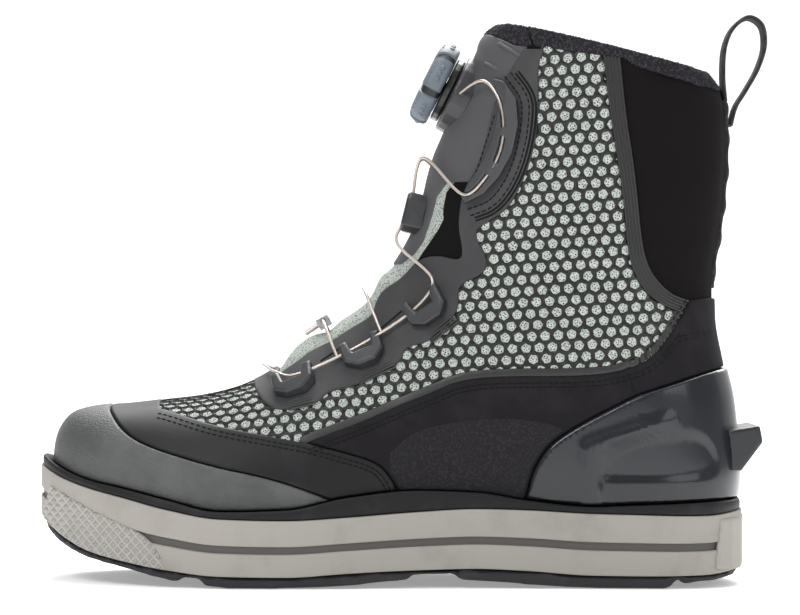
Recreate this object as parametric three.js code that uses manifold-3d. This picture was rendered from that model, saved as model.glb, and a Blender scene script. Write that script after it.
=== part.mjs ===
// A left wading boot with a cable lacing dial, standing on its lugs.
// Millimetres, +Z up, toe towards -X, outer side of the foot towards -Y.
// The origin is on the floor under the middle of the heel.
import * as THREE from 'three';
import { mergeVertices } from 'three/addons/utils/BufferGeometryUtils.js';
import Module from 'manifold-3d';

const wasm = await Module();
wasm.setup();

// Driving sizes of the boot
const soleLength = 315;
const heelBack = 39;
const bootHeight = 248;
const ballWidth = 118;
const shaftWidth = 88;
const soleHeight = 32;

// Walls, steps and clearances
const gap = 0.3;
const wall = 2.4;
const rimStep = 5.6;
const tuck = 0.05;
const tuckHeight = 0.3;
const heelRound = 42;
const collarRound = 47;
const toeRound = 90;
const heelPower = 2.3;
const backPower = 2.2;
const toePower = 2.25;
const insoleThickness = 4.5;
const overlayThickness = 1.4;
const filmThickness = 0.9;
const capThickness = 1.7;
const counterThickness = 2.6;
const ridgeThickness = 1.3;
const cuffThickness = 1.6;
const cuffPadding = 1.4;
const panelEase = 0.2;
const rimClearance = 0.5;
const cutReach = 20;

// Tongue: its pad fills the throat, and its flange runs on under the throat's edge
const tongueThickness = 3;
const flangeWidth = 9;
const padEase = 0.6;
const padSink = 0.2;
const tongueCuffThickness = 0.6;
const tongueCuffPadding = 2.4;

// Edges of the sole
const bandEase = 0.7;
const midsoleTaper = 2.2;
const midsoleEdge = 0.4;
const grooveDepth = 1.1;
const rimTop = 1;
const bumperSeat = 3.4;
const bumperStep = 0.7;
const plateSeat = 2.4;
const plateStep = 0.4;

// Tread: a plate with blocks along its edge and bars in its middle
const treadInset = 1.2;
const treadPlate = 1.8;
const plateBevel = 1;
const blockTaper = 0.6;
const blockTopTaper = 0.2;
const edgeWidth = 0.20;
const edgeNotch = 4.5;
const notchPitch = 22;
const notchInset = 0.42;
const middleWidth = 0.20;
const middleTurn = 0.22;
const laneGap = 5;

// Cable, guides and dial
const cableWidth = 1.3;
const cableClearance = 0.45;
const cableLift = 3.4;
const cableSink = 0.8;
const cableSides = 6;
const runSteps = 50;
const barSteps = 16;
const legSpread = 6.3;
const guideHeight = 6;
const guideDepth = 3;
const guideSlope = 0.8;
const upperGuideHeight = 4.2;
const tongueGuideHeight = 7;
const tongueGuideDepth = 6;
const tongueGuideSlope = 1.2;
const clipLength = 9;
const clipWidth = 6;
const clipThickness = 5;
const clipLift = 4;
const dialWidth = 38;
const dialHeight = 10;
const dialBaseTop = 4;
const dialBaseDepth = 6;
const dialBaseStep = 1;
const housingHeight = 4;
const housingStep = 4;
const housingSlope = 0.6;
const knobSlope = 1.6;
const knobDent = 1.1;
const knobSides = 32;
const dialSides = 20;

// Places along the ridge of tongue and vamp, as shares of the sole length
const dialAt = 0.404;
const tongueGuideAt = 0.462;
const clipAt = 0.590;
const upperBarAt = 0.530;

// Loop and ledge at the back
const loopWidth = 16;
const loopThickness = 1.8;
const ledgeWidth = 44;
const ledgeReach = 16;
const webbingWidth = 18;
const webbingLow = 0.530;
const webbingHigh = 0.870;

// Fineness of the surfaces
const acrossCount = 8;
const soleCount = 28;
const facetSize = 0.1;

// Plan of the sole: half widths as shares of the ball width
const planTable = [
  { at: 0.00, outer: 0.370, inner: 0.370, centre: 0.000 },
  { at: 0.12, outer: 0.372, inner: 0.368, centre: 0.000 },
  { at: 0.25, outer: 0.378, inner: 0.350, centre: 0.000 },
  { at: 0.38, outer: 0.392, inner: 0.338, centre: 0.000 },
  { at: 0.50, outer: 0.430, inner: 0.366, centre: 0.004 },
  { at: 0.62, outer: 0.482, inner: 0.432, centre: 0.012 },
  { at: 0.72, outer: 0.502, inner: 0.468, centre: 0.022 },
  { at: 0.82, outer: 0.488, inner: 0.462, centre: 0.036 },
  { at: 0.92, outer: 0.458, inner: 0.440, centre: 0.050 },
  { at: 1.00, outer: 0.430, inner: 0.420, centre: 0.058 },
];

// Side of the sole: heights as shares of the sole height
const sideTable = [
  { at: 0.00, tread: 0.150, base: 0.240, seat: 1.045, rim: 1.190 },
  { at: 0.06, tread: 0.085, base: 0.178, seat: 0.985, rim: 1.165 },
  { at: 0.094, tread: 0.082, base: 0.172, seat: 0.988, rim: 1.150 },
  { at: 0.106, tread: 0.000, base: 0.170, seat: 0.990, rim: 1.145 },
  { at: 0.15, tread: 0.000, base: 0.168, seat: 1.000, rim: 1.130 },
  { at: 0.22, tread: 0.000, base: 0.175, seat: 1.015, rim: 1.105 },
  { at: 0.31, tread: 0.045, base: 0.235, seat: 1.060, rim: 1.190 },
  { at: 0.38, tread: 0.100, base: 0.262, seat: 1.075, rim: 1.295 },
  { at: 0.46, tread: 0.120, base: 0.245, seat: 1.035, rim: 1.320 },
  { at: 0.56, tread: 0.030, base: 0.200, seat: 0.960, rim: 1.220 },
  { at: 0.645, tread: 0.000, base: 0.149, seat: 0.914, rim: 1.050 },
  { at: 0.735, tread: 0.000, base: 0.159, seat: 0.932, rim: 1.026 },
  { at: 0.81, tread: 0.100, base: 0.232, seat: 1.050, rim: 1.175 },
  { at: 0.87, tread: 0.240, base: 0.330, seat: 1.190, rim: 1.310 },
  { at: 0.92, tread: 0.340, base: 0.440, seat: 1.300, rim: 1.405 },
  { at: 0.96, tread: 0.500, base: 0.620, seat: 1.420, rim: 1.540 },
  { at: 1.00, tread: 0.800, base: 0.900, seat: 1.600, rim: 1.750 },
];

// Ends of the two flats that the boot stands on
const treadEnds = [0.11, 0.215, 0.65, 0.73];

// Heights of the dark groove round the midsole, as shares of its own thickness
const grooveLow = 0.41;
const grooveHigh = 0.54;
const grooveSlope = 0.02;

// Blocks along the edge of the tread and bars in its middle, by place from the heel
const edgeBlocks = [
  { from: -0.020, to: 0.092 }, { from: 0.108, to: 0.405 },
  { from: 0.475, to: 0.756 }, { from: 0.792, to: 1.010 },
];
const middleRows = [
  { from: 0.030, to: 0.085, lanes: 2 },
  { from: 0.115, to: 0.180, lanes: 1 },
  { from: 0.200, to: 0.265, lanes: 2 },
  { from: 0.285, to: 0.350, lanes: 2 },
  { from: 0.495, to: 0.550, lanes: 2 },
  { from: 0.570, to: 0.625, lanes: 2 },
  { from: 0.645, to: 0.700, lanes: 2 },
  { from: 0.720, to: 0.775, lanes: 2 },
  { from: 0.795, to: 0.850, lanes: 2 },
  { from: 0.870, to: 0.925, lanes: 2 },
];

// Fan of sections, from the toe over the instep to the collar. low is the foot of a section, on the
// sole's seat while lowUp is null and on the back line after that; top lies on the front line.
const fanTable = [
  { low: 0.977, lowUp: null, top: null, topUp: null, round: 1.00, power: 2.4 },
  { low: 0.972, lowUp: null, top: 0.9765, topUp: 0.228, round: 1.00, power: 2.4 },
  { low: 0.962, lowUp: null, top: 0.9740, topUp: 0.250, round: 1.00, power: 2.4 },
  { low: 0.948, lowUp: null, top: 0.9670, topUp: 0.272, round: 1.00, power: 2.5 },
  { low: 0.930, lowUp: null, top: 0.9540, topUp: 0.291, round: 1.00, power: 2.6 },
  { low: 0.905, lowUp: null, top: 0.9340, topUp: 0.301, round: 1.00, power: 2.6 },
  { low: 0.875, lowUp: null, top: 0.9050, topUp: 0.307, round: 1.00, power: 2.5 },
  { low: 0.840, lowUp: null, top: 0.8680, topUp: 0.311, round: 1.00, power: 2.4 },
  { low: 0.795, lowUp: null, top: 0.8180, topUp: 0.319, round: 1.00, power: 2.3 },
  { low: 0.745, lowUp: null, top: 0.7650, topUp: 0.328, round: 1.00, power: 2.2 },
  { low: 0.690, lowUp: null, top: 0.7120, topUp: 0.346, round: 1.00, power: 2.1 },
  { low: 0.630, lowUp: null, top: 0.6640, topUp: 0.378, round: 1.00, power: 2.0 },
  { low: 0.565, lowUp: null, top: 0.6260, topUp: 0.425, round: 1.00, power: 1.9 },
  { low: 0.500, lowUp: null, top: 0.5850, topUp: 0.454, round: 0.98, power: 1.85 },
  { low: 0.435, lowUp: null, top: 0.5450, topUp: 0.488, round: 0.95, power: 1.85 },
  { low: 0.370, lowUp: null, top: 0.5200, topUp: 0.535, round: 0.88, power: 1.9 },
  { low: 0.305, lowUp: null, top: 0.4970, topUp: 0.572, round: 0.78, power: 1.95 },
  { low: 0.245, lowUp: null, top: 0.4780, topUp: 0.612, round: 0.68, power: 2.0 },
  { low: 0.190, lowUp: null, top: 0.4640, topUp: 0.652, round: 0.60, power: 2.0 },
  { low: 0.140, lowUp: null, top: 0.4560, topUp: 0.692, round: 0.54, power: 2.05 },
  { low: 0.100, lowUp: null, top: 0.4490, topUp: 0.732, round: 0.49, power: 2.1 },
  { low: 0.065, lowUp: null, top: 0.4405, topUp: 0.768, round: 0.45, power: 2.1 },
  { low: 0.038, lowUp: null, top: 0.4300, topUp: 0.800, round: 0.42, power: 2.1 },
  { low: 0.022, lowUp: null, top: 0.4215, topUp: 0.826, round: 0.40, power: 2.1 },
  { low: 0.014, lowUp: null, top: 0.4130, topUp: 0.850, round: 0.40, power: 2.1 },
  { low: 0.008, lowUp: 0.195, top: 0.4050, topUp: 0.873, round: 0.40, power: 2.1 },
  { low: 0.012, lowUp: 0.255, top: 0.3975, topUp: 0.893, round: 0.40, power: 2.1 },
  { low: 0.019, lowUp: 0.330, top: 0.3925, topUp: 0.912, round: 0.41, power: 2.15 },
  { low: 0.032, lowUp: 0.400, top: 0.3880, topUp: 0.929, round: 0.42, power: 2.15 },
  { low: 0.043, lowUp: 0.480, top: 0.3843, topUp: 0.944, round: 0.44, power: 2.2 },
  { low: 0.044, lowUp: 0.545, top: 0.3800, topUp: 0.958, round: 0.46, power: 2.2 },
  { low: 0.036, lowUp: 0.617, top: 0.3775, topUp: 0.970, round: 0.48, power: 2.2 },
  { low: 0.029, lowUp: 0.690, top: 0.3740, topUp: 0.979, round: 0.50, power: 2.2 },
  { low: 0.025, lowUp: 0.770, top: 0.3680, topUp: 0.988, round: 0.50, power: 2.2 },
  { low: 0.026, lowUp: 0.845, top: 0.3620, topUp: 0.995, round: 0.50, power: 2.2 },
  { low: 0.035, lowUp: 0.885, top: 0.3560, topUp: 1.000, round: 0.50, power: 2.2 },
  { low: 0.050, lowUp: 0.908, top: 0.3500, topUp: 1.003, round: 0.50, power: 2.2 },
];

const sectionCount = fanTable.length - 1;

// Half width of heel and shaft, as shares of the shaft width, by height
const shaftTable = [
  { at: 0.10, half: 0.440 },
  { at: 0.30, half: 0.436 },
  { at: 0.40, half: 0.422 },
  { at: 0.50, half: 0.424 },
  { at: 0.60, half: 0.442 },
  { at: 0.70, half: 0.462 },
  { at: 0.80, half: 0.480 },
  { at: 0.90, half: 0.493 },
  { at: 1.00, half: 0.500 },
];
const ankleLow = 0.28;
const ankleHigh = 0.52;

// Outlines of the panels on the side view, as shares of the sole length and the boot height
const capEdge = [
  { at: 0.901, up: 0.400 }, { at: 0.901, up: 0.308 }, { at: 0.892, up: 0.292 }, { at: 0.875, up: 0.268 },
  { at: 0.852, up: 0.250 }, { at: 0.817, up: 0.234 }, { at: 0.744, up: 0.209 }, { at: 0.688, up: 0.196 },
  { at: 0.639, up: 0.180 }, { at: 0.579, up: 0.152 }, { at: 0.540, up: 0.120 },
];
const guardEdge = [
  { at: 0.832, up: 0.400 }, { at: 0.830, up: 0.307 }, { at: 0.810, up: 0.303 }, { at: 0.746, up: 0.280 },
  { at: 0.684, up: 0.267 }, { at: 0.617, up: 0.253 },
];
const guardBack = [
  { at: 0.617, up: 0.253 }, { at: 0.564, up: 0.236 }, { at: 0.520, up: 0.220 }, { at: 0.501, up: 0.197 },
  { at: 0.488, up: 0.165 }, { at: 0.480, up: 0.120 },
];
const hexLow = [
  { at: 0.617, up: 0.253 }, { at: 0.590, up: 0.267 }, { at: 0.540, up: 0.290 }, { at: 0.489, up: 0.319 },
  { at: 0.441, up: 0.344 }, { at: 0.407, up: 0.364 }, { at: 0.353, up: 0.373 }, { at: 0.225, up: 0.374 },
  { at: 0.176, up: 0.385 }, { at: 0.144, up: 0.401 }, { at: 0.119, up: 0.435 }, { at: 0.096, up: 0.485 },
];
const hexFront = [
  { at: 0.700, up: 0.400 }, { at: 0.696, up: 0.348 }, { at: 0.679, up: 0.317 }, { at: 0.654, up: 0.303 },
  { at: 0.595, up: 0.322 }, { at: 0.591, up: 0.338 }, { at: 0.536, up: 0.355 }, { at: 0.482, up: 0.395 },
  { at: 0.482, up: 0.419 }, { at: 0.445, up: 0.429 }, { at: 0.428, up: 0.457 }, { at: 0.403, up: 0.486 },
  { at: 0.407, up: 0.532 }, { at: 0.373, up: 0.548 }, { at: 0.362, up: 0.575 }, { at: 0.382, up: 0.618 },
  { at: 0.379, up: 0.634 }, { at: 0.342, up: 0.660 }, { at: 0.324, up: 0.695 }, { at: 0.300, up: 0.771 },
  { at: 0.295, up: 0.867 }, { at: 0.297, up: 0.920 }, { at: 0.287, up: 0.951 },
];
const ribLeft = [
  { at: 0.210, up: 0.939 }, { at: 0.199, up: 0.831 }, { at: 0.179, up: 0.686 }, { at: 0.175, up: 0.613 },
  { at: 0.168, up: 0.567 }, { at: 0.151, up: 0.525 }, { at: 0.127, up: 0.500 }, { at: 0.096, up: 0.485 },
];
const ribRight = [
  { at: 0.185, up: 0.935 }, { at: 0.176, up: 0.831 }, { at: 0.164, up: 0.744 }, { at: 0.153, up: 0.613 },
  { at: 0.144, up: 0.568 }, { at: 0.127, up: 0.538 }, { at: 0.109, up: 0.518 }, { at: 0.085, up: 0.508 },
];
const quarterTop = [
  { at: 0.085, up: 0.508 }, { at: 0.064, up: 0.512 }, { at: 0.044, up: 0.514 }, { at: -0.060, up: 0.516 },
];
const counterEdge = [
  { at: 0.318, up: 0.120 }, { at: 0.306, up: 0.192 }, { at: 0.296, up: 0.223 }, { at: 0.277, up: 0.256 },
  { at: 0.241, up: 0.286 }, { at: 0.193, up: 0.318 }, { at: 0.158, up: 0.341 }, { at: 0.111, up: 0.360 },
  { at: 0.061, up: 0.380 }, { at: 0.026, up: 0.389 }, { at: -0.060, up: 0.400 },
];
const counterRidge = [
  { at: 0.232, up: 0.150 }, { at: 0.232, up: 0.248 }, { at: 0.224, up: 0.262 }, { at: 0.118, up: 0.302 },
  { at: 0.118, up: 0.282 }, { at: 0.206, up: 0.248 }, { at: 0.206, up: 0.188 }, { at: 0.100, up: 0.199 },
  { at: 0.100, up: 0.180 },
];
const cuffLow = [
  { at: 0.303, up: 0.954 }, { at: 0.260, up: 0.946 }, { at: 0.219, up: 0.937 }, { at: 0.183, up: 0.935 },
  { at: 0.165, up: 0.920 }, { at: 0.118, up: 0.903 }, { at: 0.069, up: 0.887 }, { at: -0.080, up: 0.877 },
];
const notch = [{ at: 0.316, up: 1.080 }, { at: 0.311, up: 0.985 }, { at: 0.303, up: 0.954 }];
const tongueCuff = [
  { at: 0.420, up: 0.986 }, { at: 0.369, up: 0.985 }, { at: 0.358, up: 0.977 }, { at: 0.331, up: 0.957 },
  { at: 0.303, up: 0.954 },
];
const throatEdge = [
  { at: 0.317, up: 0.952 }, { at: 0.336, up: 0.913 }, { at: 0.356, up: 0.865 }, { at: 0.364, up: 0.823 },
  { at: 0.371, up: 0.783 }, { at: 0.382, up: 0.742 }, { at: 0.401, up: 0.699 }, { at: 0.408, up: 0.641 },
  { at: 0.400, up: 0.589 }, { at: 0.406, up: 0.577 }, { at: 0.436, up: 0.587 }, { at: 0.463, up: 0.578 },
  { at: 0.485, up: 0.544 }, { at: 0.511, up: 0.524 }, { at: 0.522, up: 0.501 }, { at: 0.526, up: 0.476 },
  { at: 0.560, up: 0.451 }, { at: 0.581, up: 0.432 }, { at: 0.614, up: 0.412 }, { at: 0.631, up: 0.394 },
  { at: 0.658, up: 0.370 },
];
const ledgeSide = [
  { at: 0.040, up: 0.272 }, { at: -0.019, up: 0.285 }, { at: -0.024, up: 0.256 }, { at: 0.006, up: 0.204 },
  { at: 0.040, up: 0.206 },
];
const loopLine = [
  { at: 0.027, up: 0.868 }, { at: 0.030, up: 0.915 }, { at: 0.027, up: 0.970 }, { at: 0.015, up: 1.003 },
  { at: -0.006, up: 1.021 }, { at: -0.024, up: 1.008 }, { at: -0.029, up: 0.972 }, { at: -0.020, up: 0.930 },
  { at: -0.003, up: 0.890 }, { at: 0.012, up: 0.858 }, { at: 0.019, up: 0.825 },
];
const lowerGuides = [{ at: 0.635, up: 0.359 }, { at: 0.541, up: 0.415 }, { at: 0.453, up: 0.498 }];
const upperGuideSide = [
  { at: 0.361, up: 0.900 }, { at: 0.346, up: 0.893 }, { at: 0.329, up: 0.862 }, { at: 0.326, up: 0.816 },
  { at: 0.334, up: 0.766 }, { at: 0.352, up: 0.724 }, { at: 0.373, up: 0.694 }, { at: 0.398, up: 0.678 },
  { at: 0.404, up: 0.690 }, { at: 0.388, up: 0.722 }, { at: 0.372, up: 0.756 }, { at: 0.359, up: 0.797 },
  { at: 0.352, up: 0.845 }, { at: 0.358, up: 0.880 },
];

// Outlines on the side of the sole, as shares of the sole length and the sole height
const bumperEdge = [
  { at: 0.995, up: 0.930 }, { at: 0.980, up: 1.318 }, { at: 0.950, up: 1.178 }, { at: 0.915, up: 1.008 },
  { at: 0.878, up: 0.868 }, { at: 0.842, up: 0.713 }, { at: 0.824, up: 0.558 }, { at: 0.812, up: 0.349 },
  { at: 0.806, up: -0.155 }, { at: 1.100, up: -0.155 }, { at: 1.100, up: 0.930 },
];
const plateEdge = [
  { at: 0.046, up: 0.264 }, { at: 0.038, up: 0.915 }, { at: -0.050, up: 0.976 }, { at: -0.050, up: 0.232 },
];

// Smooth value of one column of a table at a place along it
function column(table, key, at, place = 'at') {
  let i = 0;
  while (i < table.length - 2 && at > table[i + 1][place]) i++;
  const p = (k) => table[Math.min(Math.max(k, 0), table.length - 1)];
  const x0 = p(i)[place];
  const span = p(i + 1)[place] - x0;
  const s = Math.min(Math.max((at - x0) / span, 0), 1);
  const slope = (a, b) => (b[place] > a[place] ? (b[key] - a[key]) / (b[place] - a[place]) : 0);
  const mid = slope(p(i), p(i + 1));
  const m0 = i === 0 ? mid : gentle(slope(p(i - 1), p(i)), mid);
  const m1 = i + 2 >= table.length ? mid : gentle(mid, slope(p(i + 1), p(i + 2)));
  const h = s * s * (3 - 2 * s);
  return p(i)[key] * (1 - h) + p(i + 1)[key] * h
    + span * (m0 * s * (1 - s) * (1 - s) - m1 * s * s * (1 - s));
}

// Slope at a row between two stretches, which never overshoots the row
function gentle(a, b) {
  return a * b <= 0 ? 0 : 2 * a * b / (a + b);
}

const mix = (a, b, s) => a + (b - a) * s;

function smooth(low, high, value) {
  const s = Math.min(Math.max((value - low) / (high - low), 0), 1);
  return s * s * (3 - 2 * s);
}

const xAt = (along) => heelBack - along * soleLength;
const alongAt = (x) => (heelBack - x) / soleLength;
const treadAt = (along) => column(sideTable, 'tread', along) * soleHeight;
const baseAt = (along) => column(sideTable, 'base', along) * soleHeight;
const seatAt = (along) => column(sideTable, 'seat', along) * soleHeight;
const rimAt = (along) => column(sideTable, 'rim', along) * soleHeight;
const centreAt = (along) => column(planTable, 'centre', along) * ballWidth;

// How far a round end has closed, at a distance from its tip
const tiny = 1e-6;
function closing(distance, length, power) {
  if (distance < tiny) return 0;
  const s = 1 - Math.min(distance / length, 1);
  return Math.pow(Math.max(1 - Math.pow(s, power), 0), 1 / power);
}

// Half width of the sole's plan, side -1 outer and +1 inner, drawn in by an inset
function planHalf(along, side, inset) {
  const width = column(planTable, side < 0 ? 'outer' : 'inner', along) * ballWidth - inset;
  const fromHeel = along * soleLength - inset;
  const fromToe = (1 - along) * soleLength - inset;
  return width * closing(fromHeel, heelRound, heelPower) * closing(fromToe, toeRound, toePower);
}

// Rows of the fan at a place from 0, the toe, to 1, the collar
function fanAt(u) {
  const f = Math.min(Math.max(u, 0), 1) * (fanTable.length - 1);
  const i = Math.min(Math.floor(f), fanTable.length - 2);
  const s = f - i;
  const point = (row) => {
    const low = new THREE.Vector2(xAt(row.low), row.lowUp === null
      ? seatAt(row.low) + gap : row.lowUp * bootHeight);
    const top = row.top === null ? low.clone() : new THREE.Vector2(xAt(row.top), row.topUp * bootHeight);
    return { low, top };
  };
  const at = (k) => point(fanTable[Math.min(Math.max(k, 0), fanTable.length - 1)]);
  const curve = (pick) => {
    const [a, b, c, d] = [at(i - 1)[pick], at(i)[pick], at(i + 1)[pick], at(i + 2)[pick]];
    const value = (k) => b[k] + 0.5 * s * (c[k] - a[k]
      + s * (2 * a[k] - 5 * b[k] + 4 * c[k] - d[k] + s * (3 * (b[k] - c[k]) + d[k] - a[k])));
    return new THREE.Vector2(value('x'), value('y'));
  };
  const low = curve('low');
  if (fanTable[i + 1].lowUp === null) low.y = seatAt(alongAt(low.x)) + gap;
  const [p, q] = [fanTable[i], fanTable[i + 1]];
  return {
    low, top: curve('top'), onSeat: fanTable[i + 1].lowUp === null || (s < 1e-6 && p.lowUp === null),
    round: mix(p.round, q.round, s), power: mix(p.power, q.power, s),
  };
}

// The back line of the upper, as a distance from the toe end at a height
const backLine = fanTable.filter((row) => row.lowUp !== null)
  .map((row) => ({ at: row.lowUp, x: row.low }));
backLine.unshift({ at: (seatAt(0.014) + gap) / bootHeight, x: 0.014 });

// A point of the upper's outer face: u from toe to collar, t from the section's foot to its top
function upperPoint(u, t, side) {
  const fan = fanAt(u);
  const x = mix(fan.low.x, fan.top.x, t);
  const z = mix(fan.low.y, fan.top.y, t);
  const along = alongAt(x);
  const up = z / bootHeight;
  const foot = column(planTable, side < 0 ? 'outer' : 'inner', along) * ballWidth - rimStep;
  const shaft = column(shaftTable, 'half', up) * shaftWidth;
  const width = mix(foot, shaft, smooth(ankleLow, ankleHigh, up));
  const length = mix(heelRound, collarRound, smooth(ankleLow, 1, up));
  const back = closing(xAt(column(backLine, 'x', up)) - x, length, backPower);
  const toe = closing((fanTable[0].low - alongAt(fan.low.x)) * soleLength, toeRound - rimStep, toePower);
  const front = closing(1 - t, fan.round, fan.power);
  const drawn = 1 - tuck * (1 - Math.min(t / tuckHeight, 1)) ** 2 * (1 - smooth(ankleLow, ankleHigh, up));
  const centre = centreAt(along) * (1 - smooth(ankleLow, ankleHigh, up));
  return new THREE.Vector3(x, centre + side * width * back * toe * front * drawn, z);
}

// Normal of the outer face, pointing out
function upperNormal(u, t, side) {
  const e = 0.012;
  const s = Math.min(t, 1 - 2 * e);
  const du = upperPoint(u + e, s, side).sub(upperPoint(u - e, s, side));
  const dt = upperPoint(u, s + e, side).sub(upperPoint(u, Math.max(s - e, 0), side));
  return dt.cross(du).multiplyScalar(side).normalize();
}

// Solid helpers
function solidOf(positions, indices) {
  let geometry = new THREE.BufferGeometry();
  geometry.setAttribute('position', new THREE.Float32BufferAttribute(positions, 3));
  geometry.setIndex(indices);
  geometry = mergeVertices(geometry, 1e-4);
  const p = geometry.attributes.position;
  const index = geometry.index.array;
  const kept = [];
  let volume = 0;
  for (let i = 0; i < index.length; i += 3) {
    const [a, b, c] = [index[i], index[i + 1], index[i + 2]];
    if (a === b || b === c || a === c) continue;
    kept.push(a, b, c);
    const [va, vb, vc] = [a, b, c].map((k) => new THREE.Vector3().fromBufferAttribute(p, k));
    volume += va.dot(vb.cross(vc));
  }
  if (volume < 0) {
    for (let i = 0; i < kept.length; i += 3) [kept[i], kept[i + 1]] = [kept[i + 1], kept[i]];
  }
  return new wasm.Manifold(new wasm.Mesh({
    numProp: 3, vertProperties: new Float32Array(p.array), triVerts: new Uint32Array(kept),
  }));
}

function solidFrom(geometry, matrix = new THREE.Matrix4()) {
  const g = geometry.clone().applyMatrix4(matrix);
  for (const name of Object.keys(g.attributes)) if (name !== 'position') g.deleteAttribute(name);
  const merged = mergeVertices(g, 1e-4);
  return solidOf(Array.from(merged.attributes.position.array), Array.from(merged.index.array));
}

const group = new THREE.Group();

function add(name, solid, material) {
  const mesh = solid.simplify(facetSize).getMesh();
  const geometry = new THREE.BufferGeometry();
  geometry.setAttribute('position', new THREE.BufferAttribute(mesh.vertProperties, 3));
  geometry.setIndex(new THREE.BufferAttribute(mesh.triVerts, 1));
  geometry.computeVertexNormals();
  const made = new THREE.Mesh(geometry, material);
  made.name = name;
  group.add(made);
  return made;
}

// A prism across the whole width of the boot, from an outline on the side view
function sidePrism(points, from = -ballWidth, to = ballWidth) {
  const shape = new THREE.Shape(points.map((p) => new THREE.Vector2(p.x, p.y)));
  const geometry = new THREE.ExtrudeGeometry(shape, { depth: to - from, bevelEnabled: false });
  const matrix = new THREE.Matrix4().makeRotationX(Math.PI / 2);
  matrix.premultiply(new THREE.Matrix4().makeTranslation(0, to, 0));
  return solidFrom(geometry, matrix);
}

// The same outline grown outwards by a distance
function grown(points, distance) {
  const area = THREE.ShapeUtils.area(points);
  return points.map((p, i) => {
    const before = points[(i + points.length - 1) % points.length];
    const after = points[(i + 1) % points.length];
    const normal = (a, b) => {
      const d = b.clone().sub(a).normalize();
      return new THREE.Vector2(d.y, -d.x).multiplyScalar(Math.sign(area));
    };
    const n = normal(before, p).add(normal(p, after));
    if (n.length() < 0.2) return p.clone();
    n.divideScalar(Math.max(n.lengthSq() / 2, 0.5));
    return p.clone().addScaledVector(n, distance);
  });
}

// Places along the sole, close together at its round ends, with one at each end of the two flats
const solePlaces = Array.from({ length: soleCount + 1 }, (_, i) => {
  const s = i / soleCount;
  return mix(s, (1 - Math.cos(Math.PI * s)) / 2, 0.8);
});
for (const end of treadEnds) {
  const far = solePlaces.map((place) => Math.abs(place - end));
  solePlaces[far.indexOf(Math.min(...far))] = end;
}

// A solid with the sole's plan, through levels that each have an inset and a height by place
function soleBody(levels) {
  const positions = [];
  const indices = [];
  const count = soleCount * 2;
  for (const level of levels) {
    for (let k = 0; k < count; k++) {
      const side = k < soleCount ? -1 : 1;
      const step = k < soleCount ? k : count - k;
      const end = level.inset / soleLength;
      const along = mix(end, 1 - end, solePlaces[step]);
      const y = centreAt(along) + side * planHalf(along, side, level.inset);
      positions.push(xAt(along), y, level.height(along));
    }
  }
  for (let l = 0; l + 1 < levels.length; l++) {
    for (let k = 0; k < count; k++) {
      const [a, b] = [l * count + k, l * count + (k + 1) % count];
      indices.push(a, b, b + count, a, b + count, a + count);
    }
  }
  const last = (levels.length - 1) * count;
  for (let k = 0; k < soleCount; k++) {
    const [a, b] = [k, k + 1];
    const [c, d] = [(count - k) % count, count - k - 1];
    indices.push(a, c, b, b, c, d);
    indices.push(last + a, last + b, last + c, last + b, last + d, last + c);
  }
  return solidOf(positions, indices);
}


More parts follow.
